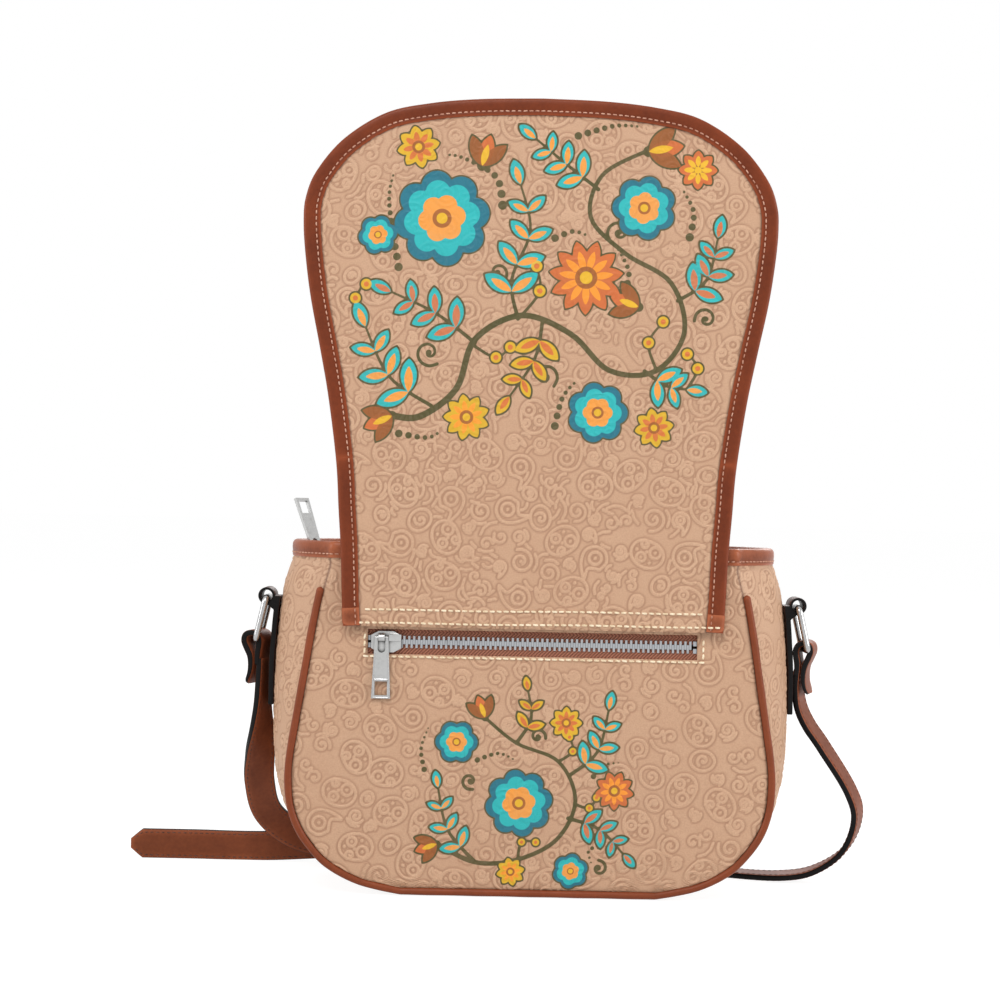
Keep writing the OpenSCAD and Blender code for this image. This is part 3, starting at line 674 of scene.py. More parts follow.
@dataclass(frozen=True)
class Leather:
    """Smooth finished leather with stained places, its rounded edges lighter, partly from wear and partly
    as a painted highlight.
    """

    tone: Rgb
    deep: Rgb
    rough: float
    coat: float
    pebble: float
    depth: float
    # The cut colour is the black of painted cut edges, and on the piping it is painted shade along its seam
    cut: Rgb = (10, 8, 8)

    def paint(self, nodes: Nodes, shader: Node) -> None:
        """Writes the finish into a material with this shader.

        Args:
            nodes: the material's nodes.
            shader: its shader.
        """
        place = nodes.place()
        grain = nodes.group(GRAIN, {"Vector": place, "Pebble": self.pebble})
        stained = nodes.spread(grain["Mottle"], 0.4, 1.0)
        tone = nodes.blend(stained, self.tone, self.deep)
        # Rounded edges are painted lighter, partly as wear and partly as a painted highlight
        rubbed = nodes.spread(nodes.add("NewGeometry").outputs["Pointiness"], 0.51, 0.56, 0.0, 0.35)
        worn_highlight = tuple(min(255.0, value * 1.3 + 12) for value in self.tone)
        tone = nodes.blend(rubbed, tone, worn_highlight)
        tone = nodes.blend(nodes.spread(nodes.marked("edge"), 0.3, 0.7), tone, self.cut)
        rough = nodes.spread(grain["Mottle"], 0.4, 1.0, self.rough - 0.06, self.rough + 0.1)
        nodes.surface(shader, tone, grain["Height"], self.depth, rough,
                      Coat_Weight=self.coat, Coat_Roughness=0.2, Specular_IOR_Level=0.13)


@dataclass(frozen=True)
class Thread:
    """Waxed sewing thread with its twist."""

    light: Rgb
    dark: Rgb
    twist: float = 420.0
    depth: float = 0.08

    def paint(self, nodes: Nodes, shader: Node) -> None:
        """Writes the finish into a material with this shader.

        Args:
            nodes: the material's nodes.
            shader: its shader.
        """
        place = nodes.place()
        twist = nodes.add("TexWave", {"Vector": place, "Scale": self.twist, "Distortion": 1.5},
                          bands_direction="DIAGONAL").outputs["Fac"]
        soil = nodes.spread(nodes.noise(place, 220.0), 0.4, 0.75)
        share = nodes.math("MULTIPLY_ADD", twist, 0.35, soil)
        tone = nodes.blend(share, self.light, self.dark)
        nodes.surface(shader, tone, twist, self.depth, 0.7)


@dataclass(frozen=True)
class Tape:
    """Woven zip tape in a fine herringbone."""

    low: Rgb = (112, 66, 48)
    high: Rgb = (172, 112, 88)
    faded: Rgb = (140, 82, 60)
    turn: float = 4.2
    rib: float = 2.0
    row: float = 0.8
    depth: float = 0.16

    def paint(self, nodes: Nodes, shader: Node) -> None:
        """Writes the finish into a material with this shader.

        Args:
            nodes: the material's nodes.
            shader: its shader.
        """
        place = nodes.place()
        part = nodes.add("SeparateXYZ", {0: place}).outputs
        across = nodes.math("ADD", part["Y"], part["Z"])
        along = nodes.math("ADD", part["X"], nodes.math("PINGPONG", across, self.turn * MM))
        ribs = nodes.math("SINE", nodes.math("MULTIPLY", along, 2 * math.pi / (self.rib * MM)))
        rows = nodes.math("SINE", nodes.math("MULTIPLY", across, 2 * math.pi / (self.row * MM)))
        height = nodes.math("MULTIPLY_ADD", rows, 0.25, ribs)
        tone = nodes.blend(nodes.spread(height, -1.0, 1.0), self.low, self.high)
        fade = nodes.spread(nodes.noise(place, 90.0), 0.4, 0.8, 0.0, 0.35)
        tone = nodes.blend(fade, tone, self.faded)
        nodes.surface(shader, tone, height, self.depth, 0.82)


@dataclass(frozen=True)
class Metal:
    """Plated metal: bright faces, with painted shade in the hollows, from ambient occlusion, and smudges.
    """

    light: Rgb
    # The dark colour is painted shade in the hollows, and the colour of smudges
    dark: Rgb
    rough: float
    reach: float = 2.4
    deep: float = 0.25
    clear: float = 0.9
    scratch: float = 0.012

    def paint(self, nodes: Nodes, shader: Node) -> None:
        """Writes the finish into a material with this shader.

        Args:
            nodes: the material's nodes.
            shader: its shader.
        """
        worn = nodes.group(BRUSH, {"Vector": nodes.place()})
        # Painted shade: the colour turns dark where ambient occlusion finds a hollow, such as between zip
        # teeth
        sky = nodes.add("AmbientOcclusion", {"Distance": self.reach * MM}, samples=8).outputs["AO"]
        hollow_shade = nodes.spread(sky, self.deep, self.clear, 1.0, 0.0)
        smudged = nodes.spread(worn["Smudge"], 0.5, 0.8, 0.0, 0.25)
        shade_and_smudge = nodes.math("MULTIPLY_ADD", hollow_shade, 0.85, smudged)
        tone = nodes.blend(shade_and_smudge, self.light, self.dark)
        rough = nodes.spread(worn["Smudge"], 0.35, 0.75, self.rough - 0.06, self.rough + 0.14)
        nodes.surface(shader, tone, worn["Scratch"], self.scratch, rough, Metallic=1.0)


@dataclass(frozen=True)
class Cloth:
    """Brown cotton lining in a plain weave."""

    low: Rgb = (112, 84, 64)
    high: Rgb = (152, 120, 94)
    faded: Rgb = (124, 92, 70)
    pitch: float = 0.7
    depth: float = 0.12

    def paint(self, nodes: Nodes, shader: Node) -> None:
        """Writes the finish into a material with this shader.

        Args:
            nodes: the material's nodes.
            shader: its shader.
        """
        threads = 2 * math.pi / (self.pitch * MM)
        cloth = nodes.group(WEAVE, {"Vector": nodes.place(), "Threads": threads})
        lit = nodes.spread(cloth["Height"], -1.0, 1.0)
        tone = nodes.blend(lit, self.low, self.high)
        fade = nodes.spread(cloth["Tone"], 0.4, 0.75, 0.0, 0.3)
        tone = nodes.blend(fade, tone, self.faded)
        nodes.surface(shader, tone, cloth["Height"], self.depth, 0.88, Sheen_Weight=0.2)


@dataclass(frozen=True)
class Board:
    """Pressed fibre board."""

    low: Rgb = (84, 62, 46)
    high: Rgb = (118, 92, 70)
    fibre: float = 700.0
    depth: float = 0.1

    def paint(self, nodes: Nodes, shader: Node) -> None:
        """Writes the finish into a material with this shader.

        Args:
            nodes: the material's nodes.
            shader: its shader.
        """
        fibre = nodes.noise(nodes.place(), self.fibre, 5.0, 0.7)
        tone = nodes.blend(nodes.spread(fibre, 0.3, 0.75), self.low, self.high)
        nodes.surface(shader, tone, fibre, self.depth, 0.9)


Look = TooledLeather | Leather | Thread | Tape | Metal | Cloth | Board

LOOKS: dict[Finish, Look] = {
    Finish.PANEL: TooledLeather(printed=False),
    Finish.PRINTED: TooledLeather(printed=True),
    Finish.BINDING: Leather((122, 56, 30), (88, 38, 20), 0.4, 0.05, 700, 0.035),
    # A lighter copy of the binding leather: wear on the binding's doubled ends, and a painted highlight on
    # the mouth binding
    Finish.WORN: Leather((152, 84, 54), (98, 46, 27), 0.36, 0.12, 600, 0.07),
    Finish.PIPING: Leather((126, 62, 36), (92, 44, 24), 0.4, 0.05, 800, 0.03),
    Finish.STRAP: Leather((132, 70, 42), (94, 48, 29), 0.46, 0.02, 800, 0.05),
    Finish.TAB: Leather((66, 38, 28), (36, 22, 18), 0.44, 0.04, 800, 0.05),
    Finish.CREAM: Thread((250, 236, 208), (222, 196, 158)),
    Finish.BLUSH: Thread((206, 158, 134), (168, 112, 88)),
    Finish.BROWN: Thread((104, 62, 46), (62, 34, 24)),
    Finish.TAPE: Tape(),
    Finish.TEETH: Metal((172, 174, 177), (22, 20, 19), 0.3, reach=1.5, deep=0.45, clear=0.95),
    Finish.SILVER: Metal((184, 184, 183), (60, 58, 57), 0.32),
    Finish.NICKEL: Metal((178, 178, 178), (56, 54, 53), 0.2),
    Finish.LINING: Cloth(),
    Finish.BOARD: Board(),
}


class Finishes:
    """Makes each finish's material once and puts it on pieces."""

    def __init__(self) -> None:
        """Starts with none made."""
        self.made: dict[Finish, bpy.types.Material] = {}

    def get(self, finish: Finish) -> bpy.types.Material:
        """Gives a finish's material, and makes it the first time.

        Args:
            finish: the finish.

        Returns:
            Its material.
        """
        if finish not in self.made:
            material = bpy.data.materials.new(finish.value)
            material.use_nodes = True
            tree = material.node_tree
            LOOKS[finish].paint(Nodes(tree), tree.nodes["Principled BSDF"])
            self.made[finish] = material
        return self.made[finish]

    def dress(self, obj: Obj, finish: Finish) -> None:
        """Gives a whole piece one finish and logs it.

        Args:
            obj: the piece.
            finish: its finish.
        """
        obj.data.materials.clear()
        obj.data.materials.append(self.get(finish))
        LOG.info("%s: %s, %d faces", obj.name, finish.value, len(obj.data.polygons))


FINISHES = Finishes()


def report(obj: Obj, finish: Finish, body: str | None, *nodes: str) -> Obj:
    """Dresses and logs a new piece, and puts it on its body and in its CAD nodes' place.

    Args:
        obj: the piece.
        finish: its finish.
        body: the body it rides on, or None, where it is left unattached.
        nodes: the CAD nodes that it replaces.

    Returns:
        The piece.
    """
    if nodes:
        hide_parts(*nodes)
    FINISHES.dress(obj, finish)
    if body:
        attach(obj, body)
    return obj


def dress_nodes(finish: Finish, *nodes: str) -> None:
    """Gives CAD nodes that show as they are one finish."""
    for node in nodes:
        FINISHES.dress(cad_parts[node], finish)


# Tooled relief

# Spirals of the motifs: middle, inner and outer radius, start in degrees and turns, in shares of the motif
SNAIL = ((0, 0, 0.12, 0.86, 90, 1.5), (0, 0, 0.88, 1.05, 20, 0.3))
BEADED_SNAIL = ((0, 0, 0.22, 0.9, 40, 1.45), (0, 0, 0.02, 0.02, 0, 1), (0.1, 0.2, 0.9, 1.05, 60, 0.2))
WOUND_SNAIL = ((0, 0, 0.1, 0.84, 300, 1.7), (0, 0, 0.98, 1.1, 60, 0.25))
S_ENDS = ((-0.42, 0.16, 0.1, 0.42, 0, 1.1), (0.42, -0.16, 0.1, 0.42, 180, 1.1))
S_EYES = ((0.1, -0.1, 0.86, 0.94, 200, 0.22), (-0.42, 0.16, 0.02, 0.02, 0, 1),
          (0.42, -0.16, 0.02, 0.02, 0, 1))
CELL_EYES = (
    (-0.36, 0.26, 0.32, 0.32, 0, 1), (-0.36, 0.26, 0.02, 0.02, 0, 1), (0.36, 0.34, 0.04, 0.3, 0, 1.1),
    (0.16, -0.42, 0.26, 0.26, 0, 1), (0.16, -0.42, 0.02, 0.02, 0, 1), (0.06, 0.02, 0.02, 0.02, 0, 1),
    (0.62, -0.2, 0.02, 0.02, 0, 1), (-0.44, -0.4, 0.02, 0.02, 0, 1),
)
DROP_EYE = ((-0.1, -0.1, 0.36, 0.36, 0, 1), (-0.1, -0.1, 0.02, 0.02, 0, 1))
DROP_SHARES = (
    (-0.1, 0.62), (0.5, 0.3), (0.92, 0.75), (0.78, -0.1), (0.3, -0.72), (-0.35, -0.72), (-0.75, -0.25),
    (-0.62, 0.35), (-0.1, 0.62),
)


def curl(x: float, y: float, inner: float, outer: float, start: float, turns: float) -> np.ndarray:
    """Gives a spiral round a middle, from an inner radius out, as points.

    Args:
        x: its middle across.
        y: its middle along.
        inner: its first radius.
        outer: its last radius.
        start: the angle at which it starts, in degrees.
        turns: how often it goes round, below zero the other way.

    Returns:
        Its points, one in each row.
    """
    share = np.linspace(0, 1, max(int(abs(turns) * 22), 4))
    angle = math.radians(start) + 2 * math.pi * turns * share
    reach = inner + (outer - inner) * share
    return np.stack([x + reach * np.cos(angle), y + reach * np.sin(angle)], axis=1)


@dataclass
class Tooling:
    """Scrolls, eyes and tendrils pressed into a sheet of leather. Sizes in millimetres.

    The motifs are packed from the largest radius down: large ones may be cells of eyes, middling ones
    scrolls, and small ones are snails. Short tendrils then fill the ground that they leave free, kept in a
    map of square cells.
    """

    seed: int
    width: float
    height: float
    ridge: float = 0.56
    lift: float = 0.4
    radii: tuple[float, ...] = (9.8, 7.8, 6.4, 5.4, 4.6, 3.7)
    large: float = 8.0
    middling: float = 6.0
    small: float = 4.5
    overlap: float = 0.97
    tries: float = 1.5
    cell: float = 0.5
    margin: int = 20
    clear: int = 2
    spacing: float = 0.32
    tendril_r: Point = (3, 13)
    tendril_turn: Point = (60, 230)
    tendril_least: int = 8
    lines: list[np.ndarray] = field(default_factory=list, init=False)

    def __post_init__(self) -> None:
        """Lays out the motifs, and fills the ground between them with tendrils."""
        self.draw = random.Random(self.seed)
        cells = [int(size / self.cell) + self.margin for size in (self.height, self.width)]
        self.taken = np.zeros(cells, bool)
        for x, y, r in self.motifs():
            turn = self.draw.uniform(0, 2 * math.pi)
            flip = self.draw.choice((-1, 1))
            way = np.array([[math.cos(turn), math.sin(turn)],
                            [-flip * math.sin(turn), flip * math.cos(turn)]])
            for line in self.motif(r):
                self.press(line @ way * r + [x, y])
        self.tendrils()

    def motifs(self) -> list[tuple[float, float, float]]:
        """Packs circles of falling size, none over another.

        Returns:
            The middle and the radius of each.
        """
        most = int(self.width * self.height / min(self.radii) ** 2)
        placed = np.zeros((most, 3))
        count = 0
        for radius in self.radii:
            for _ in range(int(self.width * self.height / radius**2 * self.tries)):
                x, y = self.draw.uniform(0, self.width), self.draw.uniform(0, self.height)
                near = np.hypot(placed[:count, 0] - x, placed[:count, 1] - y)
                if (near > placed[:count, 2] + radius * self.overlap).all():
                    placed[count] = x, y, radius
                    count += 1
        return [tuple(row) for row in placed[:count]]

    def press(self, line: np.ndarray) -> None:
        """Adds a line, and marks the ground round it as taken.

        Args:
            line: the points of the line.
        """
        line = evenly(line, max(int(lengths_along(line)[-1] / self.spacing), 1))
        self.lines.append(line)
        for i, j in (line[::2, ::-1] / self.cell).astype(int).tolist():
            rows = slice(max(i - self.clear, 0), i + self.clear + 1)
            self.taken[rows, max(j - self.clear, 0):j + self.clear + 1] = True

    def motif(self, r: float) -> list[np.ndarray]:
        """Gives the lines of a motif of this size, in shares of its radius.

        Args:
            r: the radius that the motif is to have.

        Returns:
            Its lines.
        """
        pick = self.draw.random()
        if r < self.small:
            return [curl(*row) for row in SNAIL]
        if r > self.large and pick < 0.62:
            return self.cell_of_eyes()
        if pick < 0.3:
            return [curl(0, 0, 0.84, 0.84, 0, 1) * [1.05, 0.86], curl(0.04, 0.03, 0.06, 0.46, 200, 1.1)]
        if pick < 0.55:
            return [curl(*row) for row in BEADED_SNAIL]
        if pick < 0.85:
            return self.scroll() if r > self.middling else [curl(*row) for row in WOUND_SNAIL]
        return [smooth_curve(DROP_SHARES, 8)] + [curl(*row) for row in DROP_EYE]

    @staticmethod
    def scroll() -> list[np.ndarray]:
        """Gives an S with a curl and an eye at each end."""
        first, second = (curl(*row) for row in S_ENDS)
        return [smooth_curve(np.vstack([first[::3], second[::-3]]), 5)] + [curl(*row) for row in S_EYES]

    @staticmethod
    def cell_of_eyes() -> list[np.ndarray]:
        """Gives a kidney-shaped cell with eyes and beads in it.

        Returns:
            The cell's lines.
        """
        angle = np.linspace(0, 2 * math.pi, 40)
        reach = 0.86 + 0.1 * np.cos(2 * angle + 0.4) - 0.1 * np.cos(angle - 1.2)
        outline = np.stack([reach * np.cos(angle), reach * np.sin(angle)], axis=1)
        return [outline] + [curl(*row) for row in CELL_EYES]

    def tendrils(self) -> None:
        """Presses short curved lines into the ground that the motifs leave free."""
        for _ in range(int(self.width * self.height / 4)):
            x, y = self.draw.uniform(0, self.width), self.draw.uniform(0, self.height)
            r, span = self.draw.uniform(*self.tendril_r), self.draw.uniform(*self.tendril_turn)
            start, way = self.draw.uniform(0, 360), self.draw.choice((-1, 1))
            arc = curl(0, 0, r, r * self.draw.uniform(0.6, 1.0), start, way * span / 360)
            arc = arc - arc[0] + [x, y]
            arc = evenly(arc, max(int(lengths_along(arc)[-1] / 0.5), 2))
            cells = np.clip((arc[:, ::-1] / self.cell).astype(int), 0, np.array(self.taken.shape) - 1)
            met = self.taken[cells[:, 0], cells[:, 1]]
            free = int(met.argmax()) if met.any() else len(arc)
            if free > self.tendril_least:
                self.press(arc[:free])

    def relief(self, u: np.ndarray, v: np.ndarray) -> np.ndarray:
        """Gives the height of the relief in millimetres.

        Args:
            u: places across the sheet, in millimetres.
            v: places along the sheet, of the same shape.

        Returns:
            The heights, of the same shape.
        """
        away = nearest(np.column_stack([u.ravel(), v.ravel()]), np.vstack(self.lines)).reshape(u.shape)
        line = np.exp(-((away / self.ridge) ** 2))
        groove = np.exp(-(((away - 2.1 * self.ridge) / (1.1 * self.ridge)) ** 2))
        return self.lift * (line - 0.42 * groove)


# Printed flowers


@dataclass(frozen=True)
class Spray:
    """A design of printed flowers, in millimetres on its sheet. Angles are in degrees.

    Args:
        stem: the points of the main stem.
        stem_w: half of the stem's width at its two ends.
        fronds: the points of each leafy stem, its pairs of leaves, their length and their two inks.
        rosettes: the middle, radius, number of petals and turn of each round flower.
        asters: the middle, radius, number of petals, two inks and turn of each pointed flower.
        bells: the middle, length and direction of each bellflower.
        berries: the points of each stem of berries, and their radius.
        tendrils: the middle, radius, start and turns of each curled stem.
        trails: the points of each trail of dots, and its first and last radius.
    """

    stem: tuple[Point, ...]
    stem_w: Point
    fronds: tuple[tuple, ...]
    rosettes: tuple[tuple, ...]
    asters: tuple[tuple, ...]
    bells: tuple[tuple, ...]
    berries: tuple[tuple, ...]
    tendrils: tuple[tuple, ...]
    trails: tuple[tuple, ...]


BLUE_LEAF, RED_LEAF = (Ink.TURQUOISE, Ink.ORANGE), (Ink.TURQUOISE, Ink.RUST)
GOLD_LEAF, GOLD_ORANGE = (Ink.MUSTARD, Ink.RUST), (Ink.MUSTARD, Ink.ORANGE)
RUST_ORANGE, RUST_SEED = (Ink.RUST, Ink.ORANGE), (Ink.RUST, Ink.SEED)

# One long stem that winds from low left to high right
FLAP_SPRAY = Spray(
    stem=((-82, 272), (-66, 272), (-46, 288), (-36, 316), (-10, 330), (18, 320), (40, 300), (66, 300),
          (82, 322), (74, 350), (48, 366), (28, 386), (34, 410), (58, 424)),
    stem_w=(1.9, 1.1),
    fronds=(
        (((-60, 278), (-84, 294), (-98, 322)), 3, 19, BLUE_LEAF),
        (((-36, 314), (-58, 330), (-84, 342)), 3, 17, RED_LEAF),
        (((-12, 328), (-16, 350), (-6, 378), (-12, 404)), 4, 18, BLUE_LEAF),
        (((2, 328), (-2, 306), (-16, 284)), 3, 15, GOLD_LEAF),
        (((60, 300), (72, 292), (84, 290)), 2, 15, BLUE_LEAF),
        (((78, 340), (94, 352), (100, 376)), 3, 16, RED_LEAF),
        (((32, 402), (16, 414), (-4, 430)), 3, 15, BLUE_LEAF),
    ),
    rosettes=((-56, 384, 27, 8, 10), (58, 392, 18, 7, 25), (34, 276, 17, 7, 0), (-92, 374, 11, 6, 12)),
    asters=(
        (26, 352, 21, 11, RUST_ORANGE, 8), (-40, 272, 13, 9, GOLD_ORANGE, 20),
        (-70, 424, 12, 8, GOLD_LEAF, 12), (88, 414, 11, 8, RUST_SEED, 0), (66, 268, 11, 8, GOLD_LEAF, 10),
    ),
    bells=((60, 424, 20, 10), (-82, 272, 17, 205), (-34, 414, 18, 75), (56, 336, 17, 160)),
    berries=(
        (((-10, 330), (0, 344), (-2, 358)), 3.2), (((-36, 312), (-24, 306), (-16, 312)), 3.0),
        (((66, 302), (62, 316), (70, 328)), 3.0), (((-84, 342), (-98, 346), (-104, 338)), 3.0),
        (((84, 290), (90, 302), (84, 310)), 3.0),
    ),
    tendrils=((-62, 308, 8, 200, 1.3), (4, 296, 7.5, 60, -1.3), (44, 378, 7, 120, 1.3),
              (-24, 354, 7, 300, -1.2), (94, 330, 6.5, 100, 1.25)),
    trails=(
        (((-22, 392), (-26, 408), (-44, 418), (-54, 420)), 2.6, 0.8),
        (((-80, 356), (-86, 392), (-84, 408)), 2.4, 0.8),
        (((84, 376), (86, 390), (80, 402)), 2.4, 0.8), (((10, 268), (14, 284), (22, 294)), 2.3, 0.8),
        (((48, 344), (50, 356), (44, 368)), 2.2, 0.8), (((-78, 262), (-62, 260), (-54, 264)), 2.2, 0.8),
        (((20, 432), (40, 438), (54, 438)), 2.2, 0.8), (((8, 374), (18, 378), (26, 376)), 2.2, 0.8),
    ),
)

# A smaller spray that rises round a flower
BACK_SPRAY = Spray(
    stem=((-52, 30), (-30, 20), (-6, 22), (16, 34), (26, 56), (16, 78), (-8, 88), (-26, 102)),
    stem_w=(1.4, 0.9),
    fronds=(
        (((-30, 20), (-46, 38), (-52, 62)), 3, 12, BLUE_LEAF),
        (((22, 46), (40, 40), (54, 26)), 3, 12, RED_LEAF),
        (((22, 70), (38, 84), (44, 108)), 3, 13, BLUE_LEAF),
        (((-8, 88), (0, 102), (-2, 118)), 2, 10, GOLD_LEAF),
    ),
    rosettes=((-6, 54, 19, 8, 10), (-42, 88, 12, 6, 0), (24, 16, 10, 6, 20)),
    asters=((48, 62, 11, 9, RUST_ORANGE, 30), (-10, 15, 8, 8, GOLD_ORANGE, 12),
            (20, 100, 9, 8, GOLD_LEAF, 0)),
    bells=((-26, 102, 13, 110), (-52, 30, 13, 200)),
    berries=((((26, 54), (34, 52), (38, 58)), 2.0), (((16, 78), (24, 84), (22, 92)), 2.0),
             (((-6, 22), (-4, 32), (4, 32)), 2.0)),
    tendrils=((-34, 66, 5, 200, 1.25), (4, 92, 4.6, 60, -1.2), (40, 18, 4.6, 20, 1.2)),
    trails=(
        (((-30, 78), (-18, 82), (-8, 78)), 1.6, 0.6), (((36, 70), (40, 76), (50, 78)), 1.6, 0.6),
        (((-60, 72), (-62, 84), (-58, 96)), 1.6, 0.6), (((40, 30), (34, 28), (36, 20)), 1.4, 0.6),
    ),
)


class Print:
    """Flowers printed on leather, held as the distance inside each ink's edge, in millimetres."""

    # The distance that stands where nothing is printed
    blank = -3.0

    def __init__(self, x: np.ndarray, z: np.ndarray) -> None:
        """Starts a blank print on the points at x and z, in millimetres."""
        self.x, self.z = x, z
        self.inks = {ink: np.full(x.shape, self.blank) for ink in Ink}

    def spray(self, design: Spray) -> None:
        """Prints a whole design.

        Args:
            design: the design.
        """
        self.lay(Ink.OUTLINE, self.stroke(design.stem, *design.stem_w))
        for draw, rows in (
            (self.frond, design.fronds), (self.rosette, design.rosettes), (self.aster, design.asters),
            (self.bell, design.bells), (self.berries, design.berries), (self.tendril, design.tendrils),
            (self.dots, design.trails),
        ):
            for row in rows:
                draw(*row)

    def lay(self, ink: Ink, inside: np.ndarray, outline: float = 0.0) -> None:
        """Adds a shape in one ink, and an outline of this width round it.

        Args:
            ink: the shape's ink.
            inside: how far each point lies inside the shape.
            outline: the outline's width.
        """
        self.inks[ink] = np.maximum(self.inks[ink], inside)
        if outline:
            self.inks[Ink.OUTLINE] = np.maximum(self.inks[Ink.OUTLINE], inside + outline)

    def disc(self, x: float, z: float, r: float) -> np.ndarray:
        """Gives the distance inside a disc."""
        return r - np.hypot(self.x - x, self.z - z)

    def leaf(self, base: Point, angle: float, length: float, width: float) -> np.ndarray:
        """Gives the distance inside a leaf with two points.

        Args:
            base: where the leaf starts.
            angle: where it points, in degrees.
            length: its length.
            width: its width.

        Returns:
            The distance at each point of the sheet.
        """
        a = math.radians(angle)
        half = length / 2
        cx, cz = base[0] + half * math.cos(a), base[1] + half * math.sin(a)
        along = (self.x - cx) * math.cos(a) + (self.z - cz) * math.sin(a)
        across = np.abs((self.z - cz) * math.cos(a) - (self.x - cx) * math.sin(a))
        r = (half**2 + (width / 2) ** 2) / width
        return r - np.hypot(along, across + r - width / 2)

    def stroke(self, points: tuple[Point, ...], start: float, end: float) -> np.ndarray:
        """Gives the distance inside a line that runs smoothly through points.

        Args:
            points: the points.
            start: half of the line's width at its start.
            end: half of its width at its end.

        Returns:
            The distance at each point of the sheet.
        """
        path = smooth_curve(points, 8)
        inside = np.full(self.x.shape, self.blank)
        share = np.linspace(0, 1, len(path))
        for k in range(len(path) - 1):
            (ax, az), (bx, bz) = path[k], path[k + 1]
            span = max((bx - ax) ** 2 + (bz - az) ** 2, 1e-9)
            t = np.clip(((self.x - ax) * (bx - ax) + (self.z - az) * (bz - az)) / span, 0, 1)
            gap = np.hypot(self.x - ax - t * (bx - ax), self.z - az - t * (bz - az))
            inside = np.maximum(inside, start + (end - start) * share[k] - gap)
        return inside

    def rosette(self, x: float, z: float, r: float, petals: int, turn: float) -> None:
        """Prints a flower of round petals in rings from teal to orange, with a seeded middle.

        Args:
            x: its middle across.
            z: its middle up.
            r: its radius.
            petals: how many petals its two outer rings have.
            turn: where its first petal points, in degrees.
        """
        for scale, ink in ((1.0, Ink.TEAL), (0.8, Ink.TURQUOISE), (0.5, Ink.ORANGE)):
            count = petals if ink is not Ink.ORANGE else 6
            wide = 2.6 / count
            for k in range(count):
                a = math.radians(turn + 360 * k / count)
                reach = r * scale * (1 - wide)
                petal = self.disc(x + reach * math.cos(a), z + reach * math.sin(a), wide * r * scale)
                self.lay(ink, petal, 0.9 if ink is Ink.TEAL else 0.0)
            self.lay(ink, self.disc(x, z, r * scale * (1 - wide)))
        self.lay(Ink.BROWN, self.disc(x, z, 0.2 * r))
        self.lay(Ink.SEED, self.disc(x, z, 0.1 * r + 0.4))

    def aster(self, x: float, z: float, r: float, petals: int, tones: tuple[Ink, Ink], turn: float) -> None:
        """Prints a flower of pointed petals round a seeded middle.

        Args:
            x: its middle across.
            z: its middle up.
            r: its radius.
            petals: how many petals it has.
            tones: the inks of the petals and of their hearts.
            turn: where its first petal points, in degrees.
        """
        width = 4.2 * r / petals
        for angle in (turn + 360 * k / petals for k in range(petals)):
            a = math.radians(angle)
            base = (x + 0.16 * r * math.cos(a), z + 0.16 * r * math.sin(a))
            self.lay(tones[0], self.leaf(base, angle, 0.84 * r, width), 0.9)
            self.lay(tones[1], self.leaf(base, angle, 0.58 * r, width * 0.5))
        self.lay(Ink.BROWN, self.disc(x, z, 0.3 * r), 0.5)
        self.lay(Ink.SEED, self.disc(x, z, 0.17 * r))

    def bell(self, x: float, z: float, r: float, angle: float) -> None:
        """Prints a drooping bellflower of length r that opens along an angle in degrees.

        Args:
            x, z: where the stem meets the flower.
            r: its length.
            angle: where it opens to.
        """
        for side, ink, wide in ((-34, Ink.BROWN, 0.42), (34, Ink.BROWN, 0.42), (0, Ink.RUST, 0.46)):
            self.lay(ink, self.leaf((x, z), angle + side, r, r * wide), 1.0)
        self.lay(Ink.SEED, self.leaf((x, z), angle, r * 0.7, r * 0.22))
        self.lay(Ink.OUTLINE, self.disc(x, z, 0.16 * r))

    def frond(self, points: tuple[Point, ...], pairs: int, size: float, tones: tuple[Ink, Ink]) -> None:
        """Prints a stem with paired leaves that grow smaller towards its end, and a leaf at its tip.

        Args:
            points: the points of the stem.
            pairs: how many pairs of leaves it has.
            size: the length of the largest leaf.
            tones: the inks of the leaves and of their hearts.
        """
        self.lay(Ink.OUTLINE, self.stroke(points, 1.1, 0.6))
        path = evenly(smooth_curve(points, 8), pairs + 1)
        headings = np.degrees(np.arctan2(*directions(path).T[::-1]))
        for k in range(1, pairs + 1):
            length = size * (1 - 0.4 * (k - 1) / pairs)
            for side in (-56, 56):
                self.lay(tones[0], self.leaf(path[k], headings[k] + side, length, length * 0.48), 1.1)
                self.lay(tones[1], self.leaf(path[k], headings[k] + side, length * 0.78, length * 0.25))
        self.lay(tones[0], self.leaf(path[-1], headings[-1], size * 0.8, size * 0.4), 1.1)
        self.lay(tones[1], self.leaf(path[-1], headings[-1], size * 0.6, size * 0.2))

    def berries(self, points: tuple[Point, ...], r: float) -> None:
        """Prints a stem whose points carry round berries.

        Args:
            points: the stem's points.
            r: the radius of a berry.
        """
        self.lay(Ink.OUTLINE, self.stroke(points, 0.9, 0.6))
        for x, z in points[1:]:
            self.lay(Ink.MUSTARD, self.disc(x, z, r), 1.0)
            self.lay(Ink.RUST, self.disc(x, z, 0.5 * r))

    def tendril(self, x: float, z: float, r: float, start: float, turns: float) -> None:
        """Prints a stem that curls up, from its thick end at the outside.

        Args:
            x, z: the middle of the curl.
            r: its size.
            start: the angle that it starts at.
            turns: how often it winds.
        """
        points = curl(0, 0, 0.12, 1, start, turns)[::-2] * r + [x, z]
        self.lay(Ink.OUTLINE, self.stroke(points, 0.95, 0.7))
        self.lay(Ink.OUTLINE, self.disc(x, z, 0.9 + 0.1 * r))

